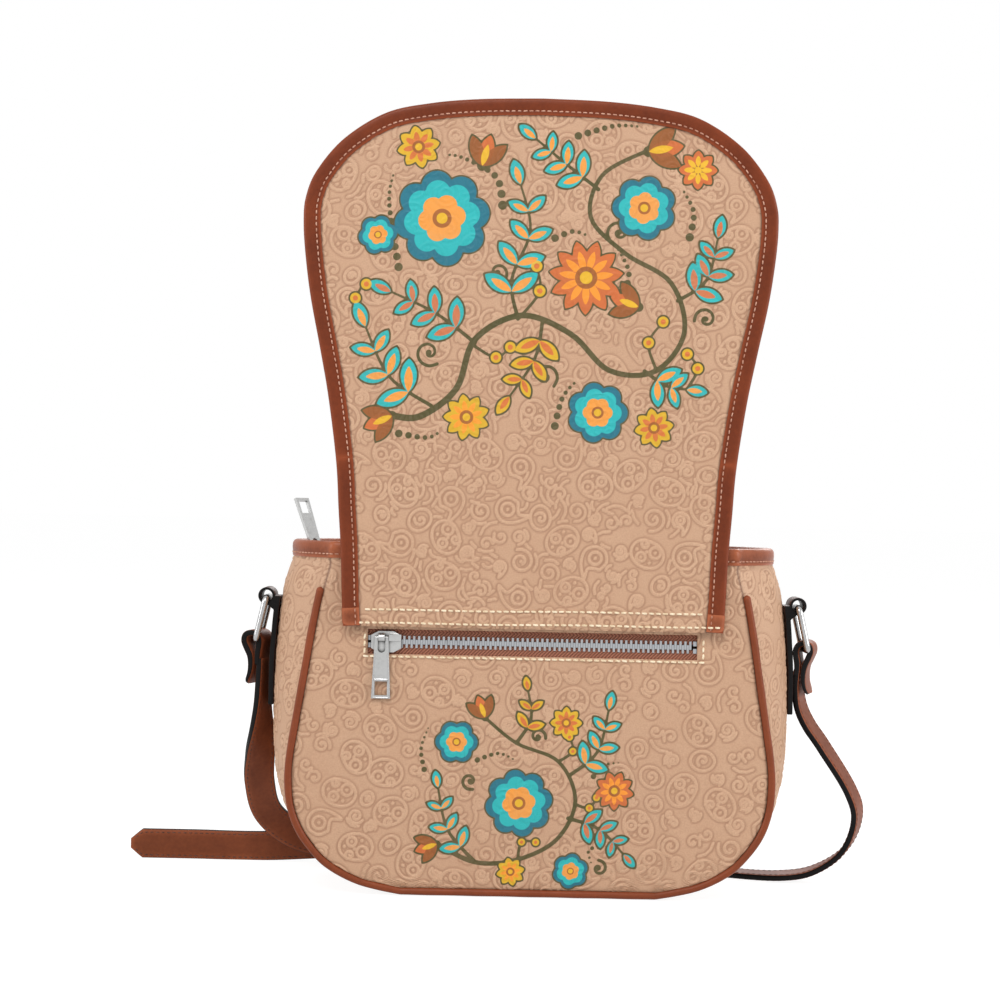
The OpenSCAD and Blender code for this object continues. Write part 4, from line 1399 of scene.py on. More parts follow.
    def dots(self, points: tuple[Point, ...], start: float, end: float) -> None:
        """Prints a trail of dots that shrink along a line, from one radius to another.

        Args:
            points: the line.
            start, end: the first and the last radius.
        """
        path = smooth_curve(points, 8)
        total = lengths_along(path)[-1]
        place = 0.0
        while place < total:
            r = start + (end - start) * place / total
            x, z = at_lengths(path, np.array([place]))[0]
            self.lay(Ink.OUTLINE, self.disc(x, z, r))
            place += 2 * r + 1.2

    def values(self) -> dict[str, np.ndarray]:
        """Gives the attributes that carry the print."""
        return {ink.value: inside for ink, inside in self.inks.items()}


# Stitches


@dataclass(frozen=True)
class Sewing:
    """How a row is sewn: its stitches' sizes in millimetres, their thread, and their slant in degrees."""

    pitch: float
    length: float
    width: float
    finish: Finish
    slant: float = 0.0


MOUTH_ROW = Sewing(3.3, 2.3, 0.75, Finish.BLUSH)
ZIP_ROW = Sewing(3.9, 3.1, 1.25, Finish.CREAM, 4)
FLAP_EDGE_ROW = Sewing(3.35, 2.3, 0.8, Finish.BLUSH)
FLAP_ROOT_ROW = Sewing(3.9, 3.0, 1.25, Finish.CREAM, 3)
STRAP_ROW = Sewing(3.4, 2.3, 0.6, Finish.BROWN)

# A stitch along its length: places, thickness and height, as shares of its length or its thread's width
STITCH_PLACE_SHARES = np.array([-0.5, -0.4, 0.0, 0.4, 0.5])
STITCH_THICK_SHARES = np.array([0.3, 0.85, 1.0, 0.85, 0.3]) / 2
STITCH_RISE_SHARES = np.array([-0.25, 0.18, 0.3, 0.18, -0.25])
STITCH_SIDES = 5


def stitches(name: str, path: np.ndarray, out: np.ndarray, row: Sewing, body: str | None) -> Obj:
    """Sews a row of stitches along a path.

    Args:
        name: the piece's name.
        path: the points of the seam on the leather's face, in millimetres.
        out: the direction away from the leather, at each point or everywhere.
        row: how it is sewn.
        body: the body the row rides on, or None, where it is left unattached.

    Returns:
        The row as one object.
    """
    along = lengths_along(path)
    count = max(int(along[-1] / row.pitch), 1)
    places = (np.arange(count) + 0.5) * along[-1] / count
    middle = at_lengths(path, places)
    way = at_lengths(path, places + 0.2 * row.pitch) - at_lengths(path, places - 0.2 * row.pitch)
    way /= np.linalg.norm(way, axis=1, keepdims=True)
    out = np.broadcast_to(out, path.shape)
    up = np.stack([np.interp(places, along, out[:, k]) for k in range(3)], axis=1)
    up /= np.linalg.norm(up, axis=1, keepdims=True)
    side = np.cross(way, up)
    draw = np.random.default_rng(len(name) * 17 + count)
    lean = np.radians(row.slant + draw.normal(0, 2.5, count))[:, None]
    way, side = way * np.cos(lean) + side * np.sin(lean), side * np.cos(lean) - way * np.sin(lean)
    scale = 1 + draw.normal(0, 0.05, count)
    reach = STITCH_PLACE_SHARES * row.length
    fat = STITCH_THICK_SHARES * row.width
    rise = STITCH_RISE_SHARES * row.width
    angles = np.radians(np.arange(STITCH_SIDES) * 72 + 18)
    rings = (
        middle[:, None, None, :]
        + way[:, None, None, :] * reach[None, :, None, None] * scale[:, None, None, None]
        + up[:, None, None, :] * (rise[:, None] + fat[:, None] * 0.8 * np.sin(angles))[None, :, :, None]
        + side[:, None, None, :] * (fat[:, None] * np.cos(angles))[None, :, :, None]
    )
    index = np.arange(count * len(reach) * STITCH_SIDES).reshape(count, len(reach), STITCH_SIDES)
    turned = np.roll(index, -1, axis=2)
    quads = np.stack([index[:, :-1], turned[:, :-1], turned[:, 1:], index[:, 1:]], axis=-1).reshape(-1, 4)
    faces = quads.tolist() + index[:, 0].tolist() + index[:, -1].tolist()
    obj = add_mesh(name, rings.reshape(-1, 3) * MM, faces)
    return report(smooth(obj, 60), row.finish, body)


# Body


@dataclass
class Body:
    """The two panels, the gusset between them, the piping and the bound mouth. Sizes in millimetres."""

    rim_w: float = 135.8
    rim_z: float = 4.5
    rim_h: float = 194.8
    leather_top: float = 197.0
    face_y: float = 43.0
    inner_y: float = 40.6
    panel_t: float = 2.4
    gusset_t: float = 1.6
    bulge: float = 26.3
    gusset_pitch: float = 0.95
    gusset_held: float = 4.0
    welt_r: float = 2.2
    welt_inset: float = 0.4
    welt_top_share: float = 0.87
    slit_x: float = 93.5
    slit_w: float = 14.2
    slit_share: float = 0.79
    zip_z: float = 144.0
    roll_h: float = 1.5
    roll_w: float = 1.3
    press_h: float = 0.9
    sway_h: float = 0.35
    puller_z: float = 131.0
    puller_h: float = 22.0
    puller_clear: float = 0.12
    binding_z: float = 191.0
    top_z: float = 200.6
    binding_t: float = 1.0
    seam_left: float = -95.2
    seam_right: float = 96.8
    seam_top: float = 148.8
    seam_low: float = 135.7
    pitch: float = 0.79
    step: int = 6

    # Half of the panel's edge from the mouth down to the underside, as shares of rim_w and rim_h
    rim_shares = (
        (0.853, 1), (0.853, 0.957), (0.853, 0.933), (0.876, 0.87), (0.908, 0.757), (0.938, 0.624),
        (0.968, 0.493), (0.994, 0.371), (0.997, 0.298), (0.984, 0.228), (0.944, 0.161),
        (0.871, 0.0955), (0.8, 0.058), (0.71, 0.0277), (0.617, 0.0113), (0.531, 0),
    )
    # Share of the gusset's bulge against the share of the rim's height
    bulge_shares = (
        (0, 0.2), (0.095, 0.19), (0.161, 0.24), (0.236, 0.36), (0.298, 0.44), (0.371, 0.55),
        (0.493, 0.728), (0.624, 0.866), (0.757, 0.945), (0.87, 1), (0.933, 0.917), (1, 0.917),
    )

    def half_rim(self) -> np.ndarray:
        """Gives the right half of the panel's edge, from the mouth down, as X and Z."""
        shares = np.asarray(self.rim_shares)
        return smooth_curve(shares * [self.rim_w, self.rim_h] + [0, self.rim_z], 8)

    def rim(self) -> np.ndarray:
        """Gives the whole edge from the left of the mouth, under the bag, to the right."""
        half = self.half_rim()
        return np.vstack([half * [-1, 1], half[::-1]])

    def half_width(self, z: np.ndarray) -> np.ndarray:
        """Gives half of the panel's width at these heights."""
        half = self.half_rim()[::-1]
        return np.interp(z, half[:, 1], half[:, 0])

    def build(self) -> None:
        """Builds and dresses every piece of the body.
        """
        self.panel(-1)
        self.panel(1)
        self.gusset()
        self.piping(-1)
        self.piping(1)
        self.mouth()
        self.zip_seam()

    def cells(self, length: float) -> int:
        """Gives how many fine cells a length takes, in whole coarse cells."""
        return int(round(length / self.pitch / self.step)) * self.step

    def panel(self, side: int) -> None:
        """Builds a panel, its relief and its rolled edge.

        Args:
            side: -1 for the back panel with its slit and print, 1 for the front panel.
        """
        low, high = self.zip_z - self.slit_w / 2, self.zip_z + self.slit_w / 2
        heights = [np.linspace(a, b, max(self.cells(b - a), self.step) + 1)
                   for a, b in ((self.rim_z, low), (low, high), (high, self.leather_top))]
        z = np.concatenate([heights[0][:-1], heights[1][:-1], heights[2]])
        inner, outer = self.cells(2 * self.slit_x), self.cells(self.rim_w - self.slit_x)
        shares = np.concatenate([np.linspace(-2, -1, outer + 1)[:-1], np.linspace(-1, 1, inner + 1)[:-1],
                                 np.linspace(1, 2, outer + 1)])
        half = self.half_width(z)[:, None]
        slit = np.minimum(self.slit_x, self.slit_share * half)
        near = np.clip(shares, -1, 1)[None, :]
        x = near * slit + (shares[None, :] - near) * (half - slit)
        zz = np.repeat(z[:, None], len(shares), axis=1)
        tooling = Tooling(31 if side < 0 else 47, 2 * self.rim_w, self.rim_h)
        relief = tooling.relief(x + self.rim_w, zz - self.rim_z)
        edge = np.minimum(half - np.abs(x), zz - self.rim_z + 0.4)
        out = self.face_y + relief - self.roll_h * np.exp(-np.clip(edge, 0, None) / self.roll_w)
        out = out + self.sway(x, zz, side)
        # The seam value paints shade along the panel's edge beside the piping
        values = {"relief": relief, "seam": fading(edge, 0.8)}
        holes = None
        if side < 0:
            inside = np.maximum(np.abs(x) - self.slit_x, np.abs(zz - self.zip_z) - self.slit_w / 2)
            out = out - self.press_h * np.exp(-np.clip(inside, 0, None) / 0.9)
            design = Print(x, zz)
            design.spray(BACK_SPRAY)
            values |= design.values()
            zc, xc = z[::self.step], shares[::self.step]
            rows_in = (zc[:-1] >= low - 0.01) & (zc[1:] <= high + 0.01)
            cols_in = (xc[:-1] >= -1.001) & (xc[1:] <= 1.001)
            holes = rows_in[:, None] & cols_in[None, :]
        front = in_metres(x, side * out, zz)
        back = front[::self.step, ::self.step].copy()
        back[..., 1] = side * self.inner_y * MM
        name = "back" if side < 0 else "front"
        obj = Shell(f"{name}_leather", front, back, self.step, holes, values).build()
        report(obj, Finish.PRINTED if side < 0 else Finish.PANEL, "root", f"{name}_panel")

    def sway(self, x: np.ndarray, z: np.ndarray, side: int) -> np.ndarray:
        """Gives how far a panel's face sways in and out, but for the height of the puller's path.

        Args:
            x: places across the panel.
            z: places up it, of the same shape.
            side: -1 for the back panel, 1 for the front panel.

        Returns:
            How far the face stands out at each place.
        """
        by_puller = fading(np.abs(z - self.puller_z) - self.puller_h, 6)
        wave = self.sway_h * np.sin(x / 31 + 1.3) * np.sin(z / 27 + side)
        return wave * (1 - by_puller) - self.puller_clear * by_puller

    def bulge_at(self, z: np.ndarray) -> np.ndarray:
        """Gives how far the gusset stands out at these heights of the rim.

        Args:
            z: the heights.

        Returns:
            The bulge at each.
        """
        heights, bulges = np.transpose(self.bulge_shares)
        shares = [np.interp((z + off - self.rim_z) / self.rim_h, heights, bulges)
                  for off in range(-9, 10, 3)]
        return self.bulge * np.mean(shares, axis=0)

    def gusset(self) -> None:
        """Builds the long strip that bulges past the piping."""
        rim = self.rim()
        rim = rim[rim[:, 1] <= self.leather_top]
        step = 4
        rim = evenly(rim, int(lengths_along(rim)[-1] / self.gusset_pitch / step) * step)
        normal = beside(directions(rim))
        y = np.linspace(-self.inner_y, self.inner_y, 92 + 1)
        crown = 1 - (y / self.inner_y) ** 2

        def face(inset: float) -> np.ndarray:
            """Gives the strip's surface, this far inside its outer face.

            Args:
                inset: how far inside.

            Returns:
                Its points, row by row.
            """
            off = self.bulge_at(rim[:, 1])[:, None] * crown[None, :] - inset
            x, z = set_off(rim, normal, off)
            return np.stack(np.broadcast_arrays(x, y, np.maximum(z, inset)), axis=-1)

        outer, inner = face(0.0), face(self.gusset_t)
        along = np.repeat(lengths_along(rim)[:, None], len(y), axis=1)
        strip = lengths_along(np.stack([y, self.bulge * crown], axis=1))
        across = np.repeat(strip[None, :], len(rim), axis=0)
        width = across.max()
        relief = Tooling(59, along.max(), width).relief(along, across)
        away = np.cross(np.gradient(outer, axis=0), np.gradient(outer, axis=1))
        away /= np.linalg.norm(away, axis=2, keepdims=True)
        away *= np.sign((away * (outer - [0, 0, 100])).sum(axis=2, keepdims=True))
        held = np.clip((self.inner_y - np.abs(y)) / self.gusset_held, 0, 1)[None, :, None]
        flat = np.clip(outer[..., 2:3] / 1.5, 0, 1)
        front = outer + away * relief[..., None] * held * flat
        front[..., 2] = np.maximum(front[..., 2], 0.0)
        # Painted shade along the gusset's edges, beside the piping
        seam = 0.8 * fading(width / 2 - np.abs(across - width / 2), 1)
        values = {"relief": relief, "seam": seam}
        obj = Shell("gusset_leather", front * MM, inner[::step, ::step] * MM, step, None, values).build()
        report(obj, Finish.PANEL, "root", "gusset")

    def piping(self, side: int) -> None:
        """Builds the corded piping along one panel's seam, with its rounded upper ends.

        Args:
            side: -1 for the back panel's piping, 1 for the front panel's.
        """
        rim = self.rim()
        rim = evenly(rim[(rim[:, 1] - self.rim_z) / self.rim_h <= self.welt_top_share], 640)
        normal = beside(directions(rim))
        line = rim + normal * (self.welt_r - self.welt_inset)
        ends = lengths_along(line)
        from_end = np.clip(np.minimum(ends, ends[-1] - ends) / self.welt_r, 0, 1)
        size = self.welt_r * np.sqrt(np.clip(1 - (1 - from_end) ** 2, 0.02, 1))
        angles = np.radians(np.arange(14) * 360 / 14)
        r = (size * (1 - 0.05 * np.sin(ends / 9.0) ** 2))[:, None]
        x, z = set_off(line, normal * r, np.cos(angles))
        y = side * (self.inner_y + self.panel_t / 2) + r * np.sin(angles)
        # Painted shade: a dark line along the piping's side against the panel, kept as its edge value
        seam = (np.cos(angles) < -0.95) & (side * np.sin(angles) > -0.3)
        name = "back" if side < 0 else "front"
        obj = sweep(f"{name}_piping", in_metres(x, y, np.maximum(z, 0)), edge=seam)
        report(smooth(obj, 60), Finish.PIPING, "root", f"{name}_welt")

    def mouth_loop(self) -> np.ndarray:
        """Gives the mouth's outline seen from above, from the left end of the back panel round.

        Returns:
            The points of the outline.
        """
        half = self.rim_shares[0][0] * self.rim_w
        swell = self.bulge_shares[-1][1] * self.bulge
        y = np.linspace(-self.inner_y, self.inner_y, 25)
        right = np.stack([half + swell * (1 - (y / self.inner_y) ** 2), y], axis=1)
        right = np.vstack([[half, -self.face_y], right, [half, self.face_y]])
        loop = evenly(np.vstack([right, right[::-1] * [-1, 1], right[:1]]), 420)[:-1]
        for _ in range(2):
            loop = (np.roll(loop, 1, axis=0) + loop + np.roll(loop, -1, axis=0)) / 3
        return loop

    def mouth(self) -> None:
        """Builds the binding folded over the mouth's edge, and its row of stitches."""
        loop = self.mouth_loop()
        normal = beside(directions(loop, closed=True))
        low, top, t = self.binding_z, self.top_z, self.binding_t
        profile = np.array([
            (t - 0.25, low), (t + 0.1, low + 0.5), (t + 0.15, low + 1.6), (t - 0.05, low + 2.3),
            (t + 0.15, low + 3.0), (t + 0.3, low + 5.5), (t + 0.05, top - 2.0), (t - 0.7, top - 0.7),
            (t - 1.9, top - 0.05), (t - 3.2, top - 0.05), (t - 4.4, top - 0.7), (t - 5.0, top - 2.0),
            (t - 5.0, low + 0.3), (t - 4.7, low), (-2.6, low), (-2.6, top - 2.2), (-0.1, top - 2.2),
            (-0.1, low),
        ])
        sag = 0.25 * np.sin(np.arange(len(loop)) * 2 * math.pi / len(loop) * 6)
        x, y = set_off(loop, normal, profile[None, :, 0])
        z = profile[None, :, 1] + np.minimum(sag, 0)[:, None] * 0.5
        obj = sweep("mouth_binding", in_metres(x, y, z), closed=True)
        # The mouth binding takes the lighter binding leather as a painted highlight on its top
        report(smooth(obj, 50), Finish.WORN, "root", "top_binding")
        seam = np.column_stack([loop + normal * t, np.full(len(loop), low + 2.2)])
        stitches("mouth_stitches", seam, np.column_stack([normal, np.zeros(len(loop))]), MOUTH_ROW, "root")

    def zip_seam(self) -> None:
        """Sews the stitches round three sides of the pocket's slit."""
        y = -self.face_y - 0.1
        path = np.array([(self.seam_left, y, self.seam_top), (self.seam_left, y, self.seam_low),
                         (self.seam_right, y, self.seam_low), (self.seam_right, y, self.seam_top)])
        stitches("zip_stitches", path, TO_BACK, ZIP_ROW, "root")


# Flap


@dataclass(frozen=True)
class Half:
    """One half of the flap, with its fold, the bodies beside it and the last words of its CAD nodes."""

    name: str
    low: float
    high: float
    fold: float
    bodies: tuple[str, str]
    nodes: tuple[str, ...]


@dataclass
class Flap:
    """The flap, sewn low on the back panel and raised. Sizes in millimetres."""

    root_h: float = 152.8
    length: float = 300.2
    half_w: float = 134.4
    leather_y: float = -48.1
    leather_t: float = 1.8
    lining_t: float = 1.0
    leather_inset: float = 3.0
    lining_inset: float = 3.2
    binding_w: float = 9.8
    binding_out: float = 0.8
    seam_in: float = 2.4
    fold_low: float = 201.6
    fold_high: float = 292.9
    split_h: float = 247.25
    bend: float = 9.0
    end_h: float = 10.4
    end_scale: float = 1.17
    end_rise: float = 1.7
    end_corner: float = 1.6
    end_x: float = 98.0
    pitch: float = 0.79
    lining_pitch: float = 2.6
    step: int = 6

    # Half of the flap's edge from its sewn end to its tip, as shares of half_w and length
    shares = (
        (0.8, 0), (0.807, 0.05), (0.816, 0.146), (0.828, 0.22), (0.842, 0.309), (0.88, 0.43),
        (0.92, 0.5236), (0.9635, 0.619), (0.989, 0.7), (0.999, 0.76), (0.992, 0.805), (0.949, 0.855),
        (0.836, 0.917), (0.662, 0.967), (0.473, 0.987), (0.26, 0.9967), (0, 1),
    )
    # Rows at the root: height of the left end, left and right end
    root_rows = {"upper": (162.3, -95.5, 96.0), "lower": (154.8, -99.5, 106.0)}

    def half_edge(self, inset: float = 0.0) -> np.ndarray:
        """Gives the right half of the edge from the root to the tip, moved inwards.

        Args:
            inset: how far inwards.

        Returns:
            The points of the edge.
        """
        edge = smooth_curve(np.asarray(self.shares) * [self.half_w, self.length] + [0, self.root_h], 10)
        way = directions(edge)
        way[-1] = (-1, 0)
        return edge - beside(way) * inset

    def build(self) -> None:
        """Builds both halves of the flap, its edge, its lining and its seams.
        """
        top = self.root_h + self.length
        tooling = Tooling(83, 2 * self.half_w, self.length + 10)
        lower = Half("low", self.root_h, self.split_h, self.fold_low, ("root", "flap_top"), ("base",))
        upper = Half("high", self.split_h, top, self.fold_high, ("flap_top", "flap_front"),
                     ("top", "front"))
        for half in (lower, upper):
            self.leather(half, tooling)
            self.lining(half)
            self.binding(half)
        self.root_seams()

    def bent(self, obj: Obj) -> None:
        """Bakes a piece's place into its mesh.

        Args:
            obj: the piece.
        """
        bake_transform(obj)

    def finished(self, obj: Obj, layer: str, half: Half, finish: Finish) -> None:
        """Puts one half of a layer in place of its CAD nodes, dresses it and bakes its place into its mesh.
        """
        report(obj, finish, None, *(f"{layer}_{part}" for part in half.nodes))
        self.bent(obj)

    def grid(self, half: Half, inset: float, pitch: float) -> tuple[np.ndarray, np.ndarray]:
        """Lays a grid that fills one half of the flap.

        Args:
            half: the half.
            inset: how far inside the edge it ends.
            pitch: the size of its cells.

        Returns:
            The X and the Z of its points.
        """
        edge = self.half_edge(inset)
        high = min(half.high, edge[-1, 1] - 0.25)
        z = np.linspace(half.low, high, int((high - half.low) / pitch / self.step) * self.step + 1)
        width = np.interp(z, edge[:, 1], edge[:, 0])
        cols = int(2 * self.half_w / pitch / self.step) * self.step
        share = np.linspace(-1, 1, cols + 1)
        return share[None, :] * width[:, None], np.repeat(z[:, None], cols + 1, axis=1)

    def leather(self, half: Half, tooling: Tooling) -> None:
        """Builds one half of the tooled leather, and prints the one that shows the flowers.

        Args:
            half: the half.
            tooling: the relief of the whole flap.
        """
        x, z = self.grid(half, self.leather_inset, self.pitch)
        relief = tooling.relief(x + self.half_w, z - self.root_h)
        rim = evenly(self.half_edge(), 700)
        inside = nearest(np.column_stack([np.abs(x).ravel(), z.ravel()]), rim).reshape(x.shape)
        roll = 0.8 * np.exp(-(z - self.root_h) / 0.8)
        sway = 0.4 * np.sin(x / 37 + 0.7) * np.sin((z - self.root_h) / 41)
        design = Print(x, z)
        if half.name == "high":
            design.spray(FLAP_SPRAY)
        front = in_metres(x, self.leather_y - relief + roll + sway * 0.6, z)
        back = front[::self.step, ::self.step].copy()
        back[..., 1] = (self.leather_y + self.leather_t) * MM
        # The seam value paints shade on the leather beside the binding's inner edge
        values = {"relief": relief, "seam": fading(inside - self.binding_w, 0.7)} | design.values()
        obj = Shell(f"flap_leather_{half.name}", front, back, self.step, None, values).build()
        self.finished(obj, "flap", half, Finish.PRINTED)

    def lining(self, half: Half) -> None:
        """Builds one half of the lining behind the leather.

        Args:
            half: the half.
        """
        x, z = self.grid(half, self.lining_inset, self.lining_pitch)
        near = self.leather_y + self.leather_t + 0.02
        far = near + self.lining_t - 0.04 + 0.12 * np.sin(x / 23) * np.sin(z / 19)
        front = in_metres(x, far, z)
        coarse = self.step // 2
        back = front[::coarse, ::coarse].copy()
        back[..., 1] = near * MM
        obj = Shell(f"flap_lining_{half.name}", front, back, coarse).build()
        self.finished(obj, "flap_lining", half, Finish.LINING)

    def runs(self, half: Half) -> list[np.ndarray]:
        """Gives the stretches of the edge in one half of the flap, each from left to right.

        Args:
            half: the half.

        Returns:
            The points of each stretch.
        """
        edge = self.half_edge()
        keep = edge[(edge[:, 1] > half.low + 0.4) & (edge[:, 1] < half.high - 0.4)]
        first, last = ([[np.interp(z, edge[:, 1], edge[:, 0]), z]] for z in (half.low, half.high))
        if half.high < edge[-1, 1] - 1:
            side = np.vstack([first, keep, last])
            return [side[::-1] * [-1, 1], side]
        side = np.vstack([first, keep])
        return [np.vstack([side * [-1, 1], edge[-1:], side[::-1]])]

    def binding(self, half: Half) -> None:
        """Builds one half of the bound edge, its stitches and, at the root, its doubled ends.

        Args:
            half: the half.
        """
        outer = self.leather_y - self.binding_out
        inner = self.leather_y + self.leather_t + self.lining_t + self.binding_out
        w = self.binding_w
        face = [(w, 0.72), (w - 0.15, 0.3), (w - 0.9, 0.12), (w - 1.9, 0.2), (w - self.seam_in, 0.36),
                (w - 2.9, 0.2), (w - 4.2, 0.02), (3.6, -0.06), (1.9, 0.04), (0.85, 0.36), (0.25, 0.95)]
        profile = np.array(
            [(n, outer + d) for n, d in face] + [(0, (outer + inner) / 2)]
            + [(n, inner - d) for n, d in face[::-1]] + [(1.3, inner - 0.85), (1.3, outer + 0.85)])
        parts, lines = [], []
        for k, run in enumerate(self.runs(half)):
            line = evenly(run, max(int(lengths_along(run)[-1] / 2.0), 8))
            inward = beside(directions(line))
            middle = np.array([0, self.root_h + self.length / 2])
            inward *= np.sign(((middle - line) * inward).sum(axis=1, keepdims=True))
            x, z = set_off(line, inward, profile[None, :, 0])
            parts.append(sweep(f"flap_edge_{half.name}_{k}", in_metres(x, profile[None, :, 1], z)))
            lines.append((line, inward))
        only(parts[0])
        for part in parts[1:]:
            part.select_set(True)
        if len(parts) > 1:
            bpy.ops.object.join()
        obj = smooth(parts[0], 50)
        obj.name = f"flap_edge_{half.name}"
        self.finished(obj, "flap_binding", half, Finish.BINDING)
        for k, (line, inward) in enumerate(lines):
            seam = line + inward * (w - self.seam_in)
            for tag, y, out in (("out", outer + 0.3, TO_BACK), ("in", inner - 0.3, TO_FRONT)):
                path = np.column_stack([seam[:, 0], np.full(len(seam), y), seam[:, 1]])
                row = stitches(f"flap_edge_stitches_{tag}_{half.name}_{k}", path, out, FLAP_EDGE_ROW, None)
                self.bent(row)
        if half.name == "low":
            for line, inward in lines:
                self.doubled_end(line, inward, profile)

    def doubled_end(self, line: np.ndarray, inward: np.ndarray, profile: np.ndarray) -> None:
        """Builds the worn patch where the binding's end is folded over itself.

        Args:
            line: the edge that the binding follows, as X and Z.
            inward: the direction into the flap at each of its points.
            profile: the binding's cross-section, as distances in from the edge and Y.
        """
        low = line[:, 1] < self.root_h + self.end_h
        line, inward = line[low], inward[low]
        if line[0, 1] > line[-1, 1]:
            line, inward = line[::-1], inward[::-1]
        mid = profile[:, 1].mean()
        in_from_edge = np.where(profile[:, 0] < 1, profile[:, 0] - 0.3, profile[:, 0])[None, :]
        thick = (mid + (profile[:, 1] - mid) * self.end_scale)[None, :]
        shrink = np.ones(len(line))
        shrink[0], shrink[-1] = 0.93, 0.95
        y = mid + (thick - mid) * shrink[:, None]
        x, z = set_off(line, inward, in_from_edge)
        corner = np.zeros(len(line))
        corner[:2] = self.end_rise, 0.3
        z = z + corner[:, None] * np.exp(-np.clip(in_from_edge, 0, None) / self.end_corner)
        obj = sweep(f"binding_end_{'left' if line[0, 0] < 0 else 'right'}", in_metres(x, y, z))
        report(smooth(obj, 50), Finish.WORN, "root")

    def root_seams(self) -> None:
        """Sews the two heavy cream rows that hold the flap to the back panel."""
        for name, (z, left, right) in self.root_rows.items():
            x = np.linspace(left, right, 60)
            y = self.leather_y - np.where(x > self.end_x, 1.4, 0.15)
            rise = 1.2 * (x - left) / (right - left)
            path = np.column_stack([x, y, z + rise + 0.2 * np.sin(x / 17)])
            stitches(f"root_stitches_{name}", path, TO_BACK, FLAP_ROOT_ROW, "root")


# Zips


@dataclass
class Zips:
    """The pocket's zip and the mouth's zip: CAD pieces with their metal and tape finished."""

    round_w: float = 0.35
    puller_x: float = -85.5
    puller_y: float = -45.15
    side_rim: Point = (0.42, 0.28)
    step_rim: Point = (0.6, 0.3)

    # Half of the puller's outline, from its waist to its foot, and the step under its window
    side_points = ((-3.55, 137.5), (-4.0, 130.5), (-4.4, 123.0), (-4.9, 113.0), (-4.7, 112.4))
    step_points = ((-3.9, 122.6), (0, 122.6), (3.9, 122.6))

    def build(self) -> None:
        """Dresses the tapes and teeth, and rounds the pocket's slider and puller.
        """
        dress_nodes(Finish.TAPE, "pocket_zip_tape", "top_zip_tape")
        dress_nodes(Finish.TEETH, "pocket_zip_teeth", "top_zip_teeth", "pocket_zip_stops", "top_zip_stops")
        dress_nodes(Finish.SILVER, "top_slider", "top_puller")
        for part in ("slider", "puller"):
            obj = softened(f"pocket_{part}", f"pocket_zip_{part}", self.round_w, 3)
            report(obj, Finish.SILVER, f"pocket_{part}")
        self.rims()

    def rims(self) -> None:
        """Raises a bright rim along the pocket puller's sides and under its window."""
        half = np.array(self.side_points)
        sides = np.vstack([half, half[::-1] * [-1, 1]])
        angles = np.radians(np.arange(8) * 45)
        step = np.array(self.step_points)
        for name, line, (wide, high) in (("sides", sides, self.side_rim), ("step", step, self.step_rim)):
            line = evenly(line, 60)
            x, z = set_off(line + [self.puller_x, 0], beside(directions(line)) * -wide, np.cos(angles))
            rim = sweep(f"pocket_puller_{name}", in_metres(x, self.puller_y + high * np.sin(angles), z))
            report(smooth(rim, 60), Finish.NICKEL, "pocket_puller")


# Hardware and strap


@dataclass
class Hardware:
    """The tabs and rings at the sides, the buckle, the keepers and the snap."""

    leather_round: float = 0.4
    buckle_round: float = 0.3
    snap_round: float = 0.5
    on_edge: float = 0.6

    def build(self) -> None:
        """Rounds and dresses each of them.
        """
        for side in ("left", "right"):
            tab = softened(f"tab_{side}", f"side_tab_{side}", self.leather_round)
            cut = [float(abs(face.normal.y) > self.on_edge) for face in tab.data.polygons]
            mark(tab, "edge", cut, "FACE")
            report(tab, Finish.TAB, "root")
        dress_nodes(Finish.NICKEL, "ring_left", "ring_right", "buckle_prong", "snap_washer")
        for node, name, width, segments, finish, body in (
            ("buckle_frame", "strap_buckle", self.buckle_round, 2, Finish.NICKEL, "strap"),
            ("fixed_keeper", "strap_loop_fixed", self.leather_round, 2, Finish.STRAP, "strap"),
            ("sliding_keeper", "strap_loop_sliding", self.leather_round, 2, Finish.STRAP, "sliding_keeper"),
            ("snap_stud", "snap_cap", self.snap_round, 3, Finish.NICKEL, "flap_front"),
            ("snap_socket", "snap_ring", self.snap_round, 3, Finish.NICKEL, "root"),
        ):
            report(softened(node, name, width, segments), finish, body)


# The strap's cross-section, a flat band with rounded edges, as shares of its half sizes
BAND_SHARES = np.array([
    (-1, -0.35), (-0.985, -0.8), (-0.94, -1), (-0.5, -1.04), (0, -1.05), (0.5, -1.04), (0.94, -1),
    (0.985, -0.8), (1, -0.35), (1, 0.35), (0.985, 0.8), (0.94, 1), (0.5, 1.04), (0, 1.05),
    (-0.5, 1.04), (-0.94, 1), (-0.985, 0.8), (-1, 0.35),
])
BAND_EDGE = np.abs(BAND_SHARES[:, 0]) > 0.96


